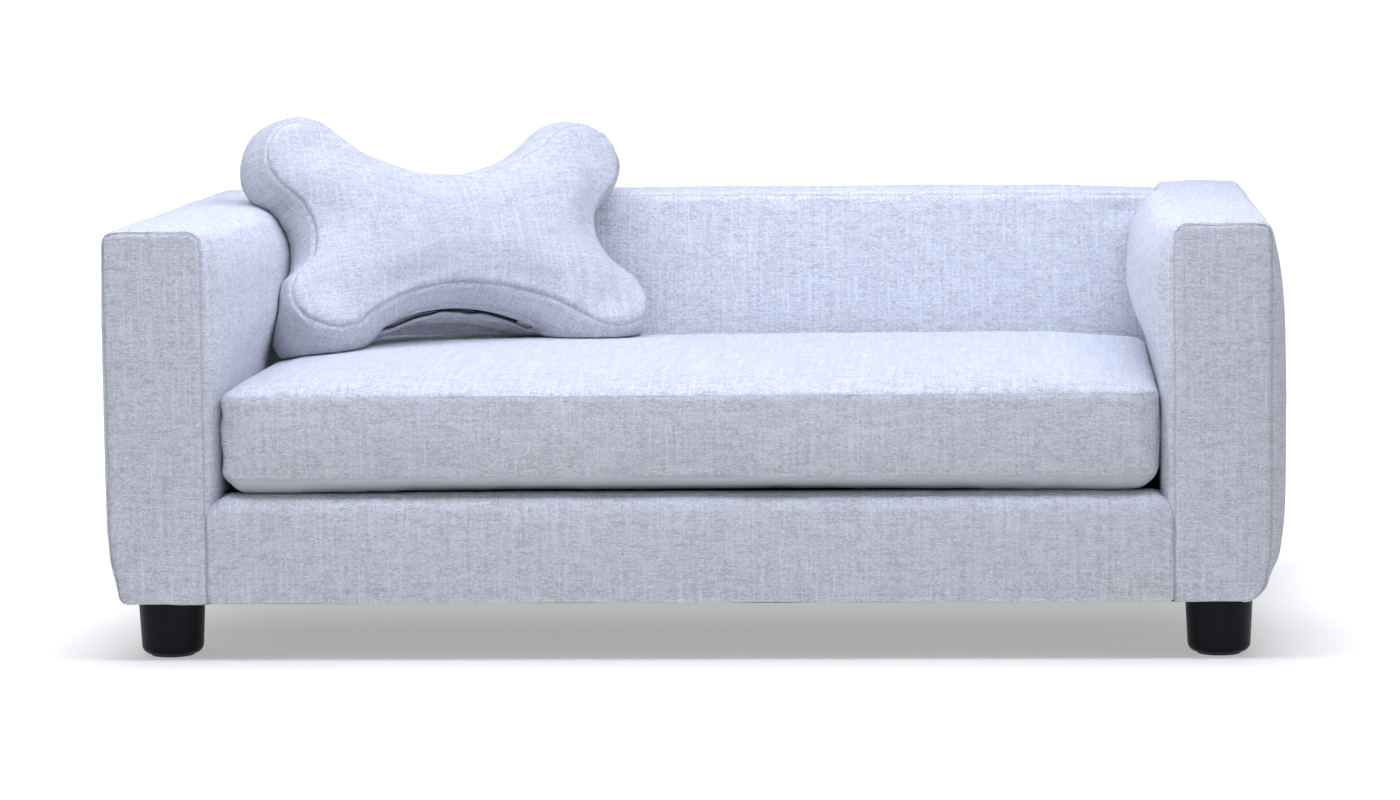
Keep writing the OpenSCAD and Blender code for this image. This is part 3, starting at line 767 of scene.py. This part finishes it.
def make_arm(side, inner, crest, outer, taper, bottom_r, spread, seed):
    """side is 1 for the right arm and -1 for the left; inner and outer are how far those faces puff."""
    ring = arm_ring(taper, bottom_r, spread)
    ring = spaced(ring, int(steps(ring).sum() / (5 * MM)))
    close = np.array([0, 3, 7, 12, 18, 25, 33, 43]) * MM
    corner = np.array([-16, -8, 0, 6]) * MM
    ys = np.concatenate([rows_between(FRONT_Y, BACK_LO[Y] - 24 * MM, close, CELL), BACK_LO[Y] + corner,
                         rows_between(BACK_LO[Y] + 12 * MM, REAR_Y, close[:5], CELL)])
    x = np.repeat(ring[None, :, 0], len(ys), 0)
    z = np.repeat(ring[None, :, 1], len(ys), 0)
    y = np.repeat(ys[:, None], len(ring), 1)
    uv = run_uv(np.stack([x, y, z], -1), (0.37 * seed, 0.11 * seed))
    from_ends = ease((y - FRONT_Y) / 0.036) * ease((REAR_Y - y) / 0.036)
    on_inner = np.clip((ARM_IN + 12 * MM - x) / (12 * MM), 0, 1)
    on_outer = np.clip((x - SEAM_OUT + 14 * MM) / (14 * MM), 0, 1)
    x = x - on_inner * arm_puff(y, z, inner, crest)
    up = np.clip((z - BASE) / (TOP - BASE), 0, 1)
    x = x + on_outer * outer * (1 - np.abs(2 * up - 1) ** 4) * from_ends
    across = np.clip((x - ARM_IN) / (ARM_OUT - ARM_IN), 0, 1)
    crown = np.sin(np.pi * across) * 3.0 * MM * from_ends
    z = z + (crown + ARM_RISE) * smooth((z - TOP + 14 * MM) / (12 * MM))
    sleeve = np.stack([x, y, z], -1)
    panels = [Panel(sleeve, uv, "i0 i1")]
    corners = (ARM_IN, BASE), (ARM_IN, TOP), (ARM_OUT, TOP)
    for end, row, puff in ((0, sleeve[0], -2.5 * MM), (-1, sleeve[-1], 3 * MM)):
        flat = row[:, [0, 2]]
        cut = [int(np.argmin(np.hypot(flat[:, 0] - c[0], flat[:, 1] - c[1]))) for c in corners]
        left, top, right = row[:cut[1] + 1], row[cut[1]:cut[2] + 1], row[cut[2]:]
        nx, nz = 9, len(left)
        bottom = spaced(np.stack([row[0], row[-1]]), nx)
        grid = coons(bottom, spaced(top, nx), left, spaced(right[::-1], nz))
        u = np.linspace(0, 1, nx)[:, None]
        v = np.linspace(0, 1, nz)[None, :]
        grid[..., Y] += puff * (np.sin(np.pi * u) * np.sin(np.pi * v)) ** 0.5
        panels.append(Panel(grid, flat_uv(grid, X, Z, (0.5 * seed + end, 0.3 * seed)), "i0 i1 j0 j1"))
    if side < 0:
        for p in panels:
            p.grid[..., X] *= -1
    return panels


def finish_arm(side, name, seed, **shape):
    """The arm's panels, faces outwards, sewn into one piece."""
    panels = make_arm(side, seed=seed, **shape)
    for p in panels:
        flip_if_needed(p, np.array([side * (ARM_IN + ARM_OUT) / 2, 0.0, (BASE + TOP) / 2]))
    return sew(name + "_upholstery", panels, "frame", [name + "_cover", name + "_front_cover", name + "_pad"],
               seed=seed)


def flip_if_needed(panel, inside):
    """Turn a panel's grid round if its faces look at the point inside."""
    g = panel.grid
    i, j = g.shape[0] // 2, g.shape[1] // 2
    normal = np.cross(g[i + 1, j] - g[i, j], g[i, j + 1] - g[i, j])
    if np.dot(normal, g[i, j] - inside) < 0:
        panel.grid = g[::-1]
        panel.uv = panel.uv[::-1]
        swap = {"i0": "i1", "i1": "i0"}
        panel.seams = [swap.get(s, s) for s in panel.seams]


finish_arm(1, "right_arm", 3, inner=30 * MM, crest=0.295, outer=13.8 * MM, taper=5 * MM,
           bottom_r=20 * MM, spread=2.4 * MM)
LEFT_ARM = finish_arm(-1, "left_arm", 5, inner=26 * MM, crest=0.325, outer=7.6 * MM, taper=7 * MM,
                      bottom_r=9 * MM, spread=4.4 * MM)


# ---------------------------------------------------------------- back and front rail

def beam(name, section, shape, replaced, seed):
    """A padded beam between the arms: strips between the seam corners of its section, open at its ends."""
    outline, cuts = section
    xs = rows_between(-ARM_IN, ARM_IN, np.array([0, 3, 7, 12, 18, 26, 36]) * MM, 14 * MM)
    panels = []
    inside = np.array([0, outline[:, 0].mean(), outline[:, 1].mean()])
    total = 0.0
    for a, b in zip(cuts[:-1], cuts[1:]):
        part = outline[a:b + 1]
        length = steps(part).sum()
        part = spaced(part, max(4, int(length / (8 * MM)) + 1))
        grid = np.stack([np.repeat(xs[:, None], len(part), 1), np.repeat(part[None, :, 0], len(xs), 0),
                         np.repeat(part[None, :, 1], len(xs), 0)], -1)
        uv = run_uv(grid, (0.41 * seed, 0.17 * seed + total))
        total += length
        panel = Panel(shape(grid), uv, "i0 i1 j0 j1")
        flip_if_needed(panel, inside)
        panels.append(panel)
    return sew(name, panels, "frame", replaced, seed=seed, tone=0.7)


def back_section():
    """Front lower corner, front upper seam, rear upper seam, rear lower corner."""
    front, rear, low = BACK_LO[Y], BACK_HI[Y], DECK + 1 * MM
    r = 5 * MM
    lower_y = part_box("back_front_panel")[1][Y]
    outline = np.concatenate([[[lower_y, low], [front + 4 * MM, low]], [[front, low + 5 * MM]],
                              arc((front + r, TOP - r), r, 180, 135, 3)])
    corner = len(outline) - 1
    outline = np.concatenate([outline, arc((front + r, TOP - r), r, 135, 90, 3)[1:],
                              arc((rear - r, TOP - r), r, 90, 45, 3)])
    corner_rear = len(outline) - 1
    outline = np.concatenate([outline, arc((rear - r, TOP - r), r, 45, 0, 3)[1:], [[rear, BASE + 5 * MM]],
                              [[rear - 5 * MM, BASE]], [[lower_y, BASE]]])
    return outline, [0, corner, corner_rear, len(outline) - 1]


def back_shape(grid):
    """The back swells in front, behind and above, more to its left, and is tucked in beside the arms."""
    g = grid.copy()
    x, y, z = g[..., 0], g[..., 1], g[..., 2]
    side = smooth((ARM_IN - np.abs(x)) / 0.10)
    front = np.clip((BACK_LO[Y] + 12 * MM - y) / (12 * MM), 0, 1)
    rear = np.clip((y - BACK_HI[Y] + 12 * MM) / (12 * MM), 0, 1)
    tall = np.sin(np.pi * np.clip((z - DECK) / (TOP - DECK), 0, 1)) ** 0.7
    g[..., 1] = y - front * 7 * MM * tall * side + rear * 5 * MM * tall * side
    across = np.clip((y - BACK_LO[Y]) / (BACK_HI[Y] - BACK_LO[Y]), 0, 1)
    top = smooth((z - TOP + 10 * MM) / (10 * MM))
    g[..., 2] = z + top * (3 * MM - x * 4 * MM + 3 * MM * np.sin(np.pi * across)) * side
    from_arm = ARM_IN - np.abs(x)
    tuck = np.exp(-((from_arm - 34 * MM) / (13 * MM)) ** 2) * np.exp(-((z - TOP + 16 * MM) / (9 * MM)) ** 2)
    g[..., 1] = g[..., 1] + 4 * MM * tuck * front
    return g


def rail_section():
    """Rear lower corner, up, over the rounded front edge and back along the bottom."""
    front, rear, top = RAIL_LO[Y], RAIL_HI[Y], RAIL_HI[Z]
    r = 15 * MM
    outline = np.concatenate([[[rear, BASE], [rear, top - 3 * MM], [rear - 3 * MM, top]],
                              arc((front + r, top - r), r, 90, 180, 8),
                              arc((front + 6 * MM, BASE + 6 * MM), 6 * MM, 180, 270, 4), [[rear, BASE]]])
    return outline, [0, len(outline) - 1]


def rail_shape(grid):
    """The rail's front bulges between the arms, and its top edge dips where it meets them."""
    g = grid.copy()
    x, y, z = g[..., 0], g[..., 1], g[..., 2]
    from_end = ARM_IN - np.abs(x)
    front = np.clip((RAIL_LO[Y] + 16 * MM - y) / (16 * MM), 0, 1)
    tall = np.sin(np.pi * np.clip((z - BASE) / (RAIL_HI[Z] - BASE), 0, 1)) ** 0.8
    g[..., 1] = y - front * 3 * MM * tall * smooth(from_end / 0.03)
    up = smooth((z - BASE) / (RAIL_HI[Z] - BASE))
    g[..., 2] = z - 8 * MM * up * (1 - smooth(from_end / 0.018))
    return g


BACK = beam("back_upholstery", back_section(), back_shape, ["back_cover", "back_pad"], 7)
beam("front_rail_upholstery", rail_section(), rail_shape, ["front_rail_cover", "front_rail_pad"], 9)


# ---------------------------------------------------------------- seat cushion

SEAT_LO, SEAT_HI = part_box("seat_cushion_cover")
SEAT_MID = (SEAT_LO + SEAT_HI) / 2
LOWER_SEAM = SEAT_LO[Z] + 15 * MM
UPPER_SEAM = SEAT_HI[Z] - 18 * MM
SEAT_CROWN = 13.5 * MM
REAR_FALL, END_FALL = 4 * MM, 5 * MM   # the seat is lower towards its rear and its two ends
SEAT_INSET, SEAT_CORNER = 1.5 * MM, 22 * MM     # the seams' plan inside the box, and its corner radius
SEAT_HX, SEAT_HY = (SEAT_HI[X] - SEAT_LO[X]) / 2 - SEAT_INSET, (SEAT_HI[Y] - SEAT_LO[Y]) / 2 - SEAT_INSET
SEAT_R = SEAT_CORNER - SEAT_INSET


def seat_outline(count):
    """Plan of the cushion's seams as four edges, each from the middle of one rounded corner to the next."""
    c = []
    for k, (sx, sy) in enumerate(((-1, -1), (1, -1), (1, 1), (-1, 1))):
        corner = (SEAT_MID[X] + sx * (SEAT_HX - SEAT_R), SEAT_MID[Y] + sy * (SEAT_HY - SEAT_R))
        c.append(arc(corner, SEAT_R, 180 + 90 * k, 270 + 90 * k, 8))
    return [spaced(np.concatenate([c[k][4:], c[(k + 1) % 4][:5]]), count[k % 2]) for k in range(4)]


def from_seam(x, y):
    """How far a point of the cushion's plan lies inside its seams."""
    qx = np.abs(x - SEAT_MID[X]) - (SEAT_HX - SEAT_R)
    qy = np.abs(y - SEAT_MID[Y]) - (SEAT_HY - SEAT_R)
    outside = np.hypot(np.maximum(qx, 0), np.maximum(qy, 0)) + np.minimum(np.maximum(qx, qy), 0)
    return np.maximum(SEAT_R - outside, 0)


def seat_height(x, y):
    """Crown of the seat above its upper seam: a tight roll at the edge and a shallow dome inside it."""
    edge = ease(from_seam(x, y) / 0.022)
    dome = ease((SEAT_HX - np.abs(x - SEAT_MID[X])) / 0.26) * ease((SEAT_HY - np.abs(y - SEAT_MID[Y])) / 0.20)
    fall = (REAR_FALL * smooth((y + 0.10) / 0.26) + END_FALL * smooth((np.abs(x) - 0.30) / 0.10)) * edge
    return SEAT_CROWN * (0.82 * np.sqrt(edge) + 0.18 * dome * edge) - fall


def make_cushion():
    """The seat's crowned top, the lining under it and the band between them."""
    front, right, rear, left = seat_outline((70, 44))
    plan = relaxed(coons(front, rear[::-1], left[::-1], right), 20)
    top = np.concatenate([plan, np.zeros(plan.shape[:2] + (1,))], -1)
    top[..., Z] = UPPER_SEAM + seat_height(top[..., X], top[..., Y])
    low = top.copy()
    depth = ease(from_seam(top[..., X], top[..., Y]) / 0.024)
    low[..., Z] = LOWER_SEAM - (LOWER_SEAM - SEAT_LO[Z] - 0.6 * MM) * depth
    loop = np.concatenate([front[:-1], right[:-1], rear[:-1], left[:-1]])
    rows = np.linspace(LOWER_SEAM, UPPER_SEAM, 9)
    band = np.zeros((len(loop), len(rows), 3))
    band[..., :2] = loop[:, None]
    band[..., Z] = rows
    panels = [Panel(top, flat_uv(top, X, Y, (2.3, 1.1)), "i0 i1 j0 j1"),
              Panel(low[::-1], flat_uv(low[::-1], X, Y, (4.3, 2.1)), "i0 i1 j0 j1", lining=True),
              Panel(band, run_uv(band, (1.7, 3.3)), "j0 j1", closed=True)]
    inflate(panels, 4.5 * MM, growth=0.01)
    return panels


COIL_LO, COIL_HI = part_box("seat_zip_coil")
SEAT_ZIP_Y, SEAT_ZIP_Z = COIL_LO[Y], (COIL_LO[Z] + COIL_HI[Z]) / 2
SEAT_ZIP_HALF = COIL_HI[X]


def seated(co):
    """The cushion lies flat on the deck, and its rear is held flat beside the zip."""
    co = co.copy()
    x, y, z = co[:, 0], co[:, 1], co[:, 2]
    co[:, 2] = np.maximum(z, SEAT_LO[Z] + 0.3 * MM)
    near = smooth((26 * MM - np.abs(z - SEAT_ZIP_Z)) / (14 * MM))
    near = near * smooth((SEAT_ZIP_HALF + 0.03 - np.abs(x)) / 0.03) * (y > SEAT_ZIP_Y - 25 * MM)
    co[:, 1] = y * (1 - near) + (SEAT_ZIP_Y - 0.8 * MM) * near
    return co


SEAT = sew("seat_cushion", make_cushion(), "seat_cushion", ["seat_cushion_cover", "seat_cushion_foam"],
           seed=11, edge=0.8 * MM, pucker=0.9 * MM, wave=1.4 * MM, tone=0.12, shape=seated)


# ---------------------------------------------------------------- bone pillow

# The pillow's pose and outline, as in its CAD solid
BONE_CENTRE = Vector((-0.257, 0.092, 0.338))
BONE_TURN = (Matrix.Rotation(math.radians(32), 3, "Z") @ Matrix.Rotation(math.radians(90 - 25), 3, "X")
             @ Matrix.Rotation(math.radians(-3), 3, "Z"))
BONE_L, BONE_H, LOBE, WAIST, NOTCH, BONE_T = 0.186, 0.122, 0.043, 0.065, 0.148, 0.080
BONE_ZIP = math.radians(28)
BEND_R, BEND_MID, BEND_BACK = 0.405, 0.028, 0.005
FACE_CROWN, GUSSET_PUFF = 0.020, 0.006


def bone_numbers(inset):
    """Centre and radius of the lobes, then radii, centres and contact angles of waist and notch arcs."""
    r = LOBE
    lx, ly = BONE_L - r, BONE_H - r
    dy, dx = ly - WAIST, NOTCH - lx
    wr = (lx * lx + dy * dy - r * r) / (2 * (r + dy))
    nr = (ly * ly + dx * dx - r * r) / (2 * (r - dx))
    wc, nc = WAIST + wr, NOTCH + nr
    wa = math.degrees(math.atan2(wc - ly, lx))
    na = math.degrees(math.atan2(ly, nc - lx))
    return lx, ly, r - inset, wr + inset, nr + inset, wc, nc, wa, na


def bone_edges(inset, counts):
    """Four edges of the outline, meeting at the outermost point of each lobe: bottom, right, top, left."""
    lx, ly, r, wr, nr, wc, nc, wa, na = bone_numbers(inset)
    corner = 45
    bottom = np.concatenate([arc((-lx, -ly), r, 180 + corner, 360 - wa, 8),
                             arc((0, -wc), wr, 180 - wa, wa, 20),
                             arc((lx, -ly), r, wa - 180, -corner, 8)])
    right = np.concatenate([arc((lx, -ly), r, -corner, na, 8), arc((nc, 0), nr, 180 + na, 180 - na, 14),
                            arc((lx, ly), r, -na, corner, 8)])
    top = bottom[::-1] * (1, -1)
    left = right[::-1] * (-1, 1)
    return (spaced(bottom, counts[0]), spaced(right, counts[1]), spaced(top[::-1], counts[0])[::-1],
            spaced(left, counts[1]))


def to_world(local):
    """World points of points in the pillow's own frame."""
    turn = np.array(BONE_TURN)
    return local @ turn.T + np.array(BONE_CENTRE)


def to_local(world):
    """Points in the pillow's own frame of world points."""
    return (world - np.array(BONE_CENTRE)) @ np.array(BONE_TURN)


def crown_over(flat, rounds=1500):
    """Heights, up to 1, of a film blown up over a flat grid and level at its edges."""
    du = np.linalg.norm(flat[2:, 1:-1] - flat[:-2, 1:-1], axis=-1) / 2
    dv = np.linalg.norm(flat[1:-1, 2:] - flat[1:-1, :-2], axis=-1) / 2
    wu, wv = 1 / du ** 2, 1 / dv ** 2
    h = np.zeros(flat.shape[:2])
    for _ in range(rounds):
        across = (h[2:, 1:-1] + h[:-2, 1:-1]) * wu + (h[1:-1, 2:] + h[1:-1, :-2]) * wv
        h[1:-1, 1:-1] = (across + 1) / (2 * wu + 2 * wv)
    return h / h.max()


def bent(local):
    """The pillow slumps: seen from its end it is a gentle curve, more upright towards its top."""
    y, z = local[..., Y], local[..., Z]
    turn = (y - BEND_MID) / BEND_R
    out = local.copy()
    out[..., Y] = BEND_MID + (BEND_R - z) * np.sin(turn)
    out[..., Z] = BEND_R - (BEND_R - z) * np.cos(turn) - BEND_BACK
    return out


def make_bone():
    """The pillow in its own frame: two crowned bone-shaped faces and the gusset between them."""
    bottom, right, top, left = bone_edges(3 * MM, (62, 38))
    flat = relaxed(coons(bottom, top[::-1], left[::-1], right), 160)
    half = BONE_T / 2 - 5 * MM
    face = np.concatenate([flat, (half + FACE_CROWN * crown_over(flat) ** 0.62)[..., None]], -1)
    back = face * (1, 1, -1)
    loop = np.concatenate([bottom[:-1], right[:-1], top[:-1], left[:-1]])
    ahead = np.roll(loop, -1, 0) - np.roll(loop, 1, 0)
    outward = np.stack([ahead[:, 1], -ahead[:, 0]], 1) / np.linalg.norm(ahead, axis=1)[:, None]
    rows = np.linspace(-1, 1, 11)
    band = np.zeros((len(loop), len(rows), 3))
    band[..., :2] = loop[:, None] + outward[:, None] * (GUSSET_PUFF * (1 - rows ** 2))[None, :, None]
    band[..., Z] = rows[None] * half
    panels = [Panel(bent(face), flat_uv(face, X, Y, (0.3, 5.1)), "i0 i1 j0 j1"),
              Panel(bent(back)[::-1], flat_uv(back[::-1], X, Y, (1.3, 6.1)), "i0 i1 j0 j1"),
              Panel(bent(band), run_uv(band, (2.7, 7.3)), "j0 j1", closed=True)]
    inflate(panels, 5 * MM, growth=0.03, even=3)
    for panel in panels:
        panel.grid = to_world(panel.grid)
    return panels


BONE_NUMBERS = bone_numbers(0)
WAIST_R, WAIST_C = BONE_NUMBERS[3], BONE_NUMBERS[5]


def bone_zip_place(s, a, h):
    """World points beside the pillow's zip: s along it, a across it and h out of the gusset."""
    angle, a, h = np.broadcast_arrays(s / WAIST_R, a, h)
    local = np.stack([(WAIST_R - h) * np.sin(angle), (WAIST_R - h) * np.cos(angle) - WAIST_C, a], -1)
    return to_world(local)


def settled(co):
    """The pillow gives way where it touches its neighbours, and its gusset lies along the zip."""
    co = made_room(co, (LEFT_ARM, BACK, SEAT), 1.2 * MM)
    local = to_local(co)
    x, y, z = local.T
    far = np.hypot(x, y + WAIST_C)
    angle = np.arctan2(x, y + WAIST_C)
    near = smooth((24 * MM - np.abs(z)) / (14 * MM)) * smooth((BONE_ZIP + 0.10 - np.abs(angle)) / 0.10)
    near = near * (np.abs(far - WAIST_R) < 20 * MM) * (y < 0)
    held = 1 + near * ((WAIST_R + 0.8 * MM) / far - 1)
    local = np.stack([x * held, (y + WAIST_C) * held - WAIST_C, z], 1)
    return to_world(local)


sew("bone_pillow", make_bone(), "bone_pillow", ["bone_pillow_cover", "bone_pillow_filling"], step=4 * MM,
    seed=13, edge=1.6 * MM, pucker=1.1 * MM, wave=2.0 * MM, shape=settled, fabric=PILLOW_SHADED_FABRIC)


# ---------------------------------------------------------------- zips

def wire(points, along, radius, sides=5):
    """Points and faces of a round wire along an open line; along is a direction it keeps square to."""
    ahead = np.gradient(points, axis=0)
    side = np.cross(ahead, along)
    side /= np.linalg.norm(side, axis=1)[:, None]
    up = np.cross(ahead, side)
    up /= np.linalg.norm(up, axis=1)[:, None]
    turn = np.linspace(0, 2 * np.pi, sides, endpoint=False)
    ring = np.cos(turn)[:, None] * side[:, None] + np.sin(turn)[:, None] * up[:, None]
    tube = points[:, None] + radius * ring
    faces = grid_faces(sides, len(points), 0, True)
    return tube.transpose(1, 0, 2).reshape(-1, 3), faces


def zip_coil(name, place, half, pitch, proud, body, replaced):
    """Two rows of nylon loops that mesh along the middle of the zip, and wander out of it by proud."""
    turns = int(2 * half / pitch)
    t = np.linspace(0, turns, turns * 8 + 1)
    points, faces, start = [], [], 0
    for side in (-1, 1):
        s = (t - turns / 2 + 0.25 * side) * pitch
        across = side * (1.1 + 1.25 * np.cos(2 * np.pi * t)) * MM
        row = np.zeros(len(s))
        uneven = 1 + 0.8 * noise3(np.stack([s, row, row], 1), 14 * MM, 47)
        wander = proud * uneven * ease((half - np.abs(s)) / 0.015)
        out = (1.05 + 0.75 * np.sin(2 * np.pi * t)) * MM + wander
        line = place(s, across, out)
        along = place(s + MM, across, out) - line
        tube, cells = wire(line, along, 0.38 * MM)
        points.append(tube)
        faces.append(cells + start)
        start += len(tube)
    mesh = plain_mesh(name, np.concatenate(points), np.concatenate(faces))
    return finished(name, mesh, ZIP_COIL, body, replaced)


def swept(place, half, step, profile):
    """A closed strip along a zip. profile gives the points (a, h) round its section at each place s."""
    s = np.linspace(-half, half, int(2 * half / step) + 1)
    section = profile(s)
    grid = place(s[:, None], section[..., 0], section[..., 1])
    sides = section.shape[1]
    faces = grid_faces(sides, len(s), 0, True)
    points = grid.transpose(1, 0, 2).reshape(-1, 3)
    caps = [[k * len(s) for k in range(sides)][::-1], [k * len(s) + len(s) - 1 for k in range(sides)]]
    length = running(steps(section.mean(0)))
    uv = np.stack(np.broadcast_arrays(s[None, :], length[:, None]), -1).reshape(-1, 2)
    return points, faces.tolist() + caps, uv


def zip_strips(name, place, half, profile, material, body, replaced=()):
    """The same strip on either side of a zip, as one piece."""
    points, faces, uvs = [], [], []
    for side in (-1, 1):
        start = sum(len(p) for p in points)
        strip, cells, uv = swept(place, half, 1.5 * MM, lambda s: profile(s, side))
        points.append(strip)
        faces += [[start + v for v in f][::side] for f in cells]
        uvs.append(uv)
    mesh = bpy.data.meshes.new(name)
    mesh.from_pydata(np.concatenate(points).tolist(), [], faces)
    layer = mesh.uv_layers.new(name="cloth")
    corners = np.zeros(len(mesh.loops), int)
    mesh.loops.foreach_get("vertex_index", corners)
    layer.data.foreach_set("uv", np.concatenate(uvs)[corners].astype(np.float32).ravel())
    return finished(name, mesh, material, body, replaced)


def tape_profile(s, side):
    """Flat woven tape, 7 mm wide, beside the coil."""
    section = np.array([(0.5, 0.0), (7.0, 0.0), (7.0, 0.7), (0.5, 0.7)]) * MM
    return np.broadcast_to(section * (side, 1), (len(s), 4, 2))


def lip_profile(s, side, height):
    """A fold of the fabric that half hides the coil, wavering along its length and fading at its ends."""
    row = np.zeros(len(s))
    waver = noise3(np.stack([s, row + side, row], 1), 16 * MM, 41)
    swell = noise3(np.stack([s, row + side, row], 1), 30 * MM, 43)
    inner = (1.7 + 1.1 * waver) * MM
    high = height[side > 0] * (1 + 0.45 * swell) * ease((s[-1] - np.abs(s)) / (12 * MM))
    shape = ((0.8, -1.0), (0.0, 0.25), (0.0, 0.62), (0.9, 1.0),
             (2.6, 1.05), (5.0, 0.72), (7.6, 0.25), (9.5, -1.0))
    section = np.zeros((len(s), len(shape), 2))
    for k, (a, h) in enumerate(shape):
        section[:, k, 0] = side * (inner + a * MM)
        section[:, k, 1] = h * high if h > 0 else h * MM
    return section


def seat_zip_place(s, a, h):
    """World points beside the cushion's zip: s along it, a across it and h out of its rear."""
    return np.stack(np.broadcast_arrays(s, SEAT_ZIP_Y + h, SEAT_ZIP_Z + a), -1)


def zip_in(name, place, half, lips, proud, height, body, fabric):
    """A zip's tapes, its coil and its lips. half is its half length, lips that of the lips, proud how far the
    coil wanders out, and height that of the lip on the side of smaller a, then of the other."""
    zip_strips(name + "_tapes_woven", place, half, tape_profile, ZIP_CLOTH, body,
               [name + "_tapes"])
    zip_coil(name + "_coil_loops", place, half, 2 * MM, proud, body, [name + "_coil"])
    zip_strips(name + "_lips", place, lips, lambda s, side: lip_profile(s, side, height), fabric, body)


zip_in("bone_zip", bone_zip_place, BONE_ZIP * WAIST_R, (BONE_ZIP + 0.05) * WAIST_R, 2.2 * MM,
       (6.0 * MM, 1.2 * MM), "bone_pillow", PILLOW_SHADED_FABRIC)
zip_in("seat_zip", seat_zip_place, SEAT_ZIP_HALF, SEAT_ZIP_HALF + 8 * MM, 0, (2.5 * MM, 2.5 * MM),
       "seat_cushion", FABRIC)


# ---------------------------------------------------------------- deck and dust cloths

def stretched(name, node, sag, ripple, seed):
    """A thin cloth pulled tight over its node's box: its middle sags and its edges ripple between staples."""
    low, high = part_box(node)
    size = high - low
    x = np.linspace(low[X], high[X], int(size[X] / 0.012))
    y = np.linspace(low[Y], high[Y], int(size[Y] / 0.012))
    xx, yy = (g.ravel() for g in np.meshgrid(x, y, indexing="ij"))
    edge = np.minimum.reduce([xx - low[X], high[X] - xx, yy - low[Y], high[Y] - yy])
    spots = np.stack([xx, yy, np.zeros(len(xx))], 1)
    ripples = ripple * (0.5 + 0.5 * noise3(spots, 24 * MM, seed)) * np.exp(-edge / 0.02)
    drop = sag * smooth(edge / 0.12) + ripples
    layers = [np.stack([xx, yy, z - drop], 1) for z in (high[Z] + 0 * xx, low[Z] + 0 * xx)]
    top = grid_faces(len(x), len(y), 0, False)
    bottom = top[:, ::-1] + len(xx)
    rim = np.concatenate([np.arange(len(y))[::-1], np.arange(1, len(x)) * len(y),
                          (len(x) - 1) * len(y) + np.arange(1, len(y)),
                          (np.arange(len(x) - 2, 0, -1) + 1) * len(y) - 1])
    following = np.roll(rim, -1)
    side = np.stack([rim, following, following + len(xx), rim + len(xx)], 1)
    mesh = plain_mesh(name, np.concatenate(layers), np.concatenate([top, bottom, side]))
    piece = finished(name, mesh, BLACK_CLOTH, "frame", [node])


stretched("deck_cloth_stretched", "deck_cloth", 0.0, 0.15 * MM, 21)
stretched("dust_cover_stretched", "dust_cover", 2.0 * MM, 0.4 * MM, 23)
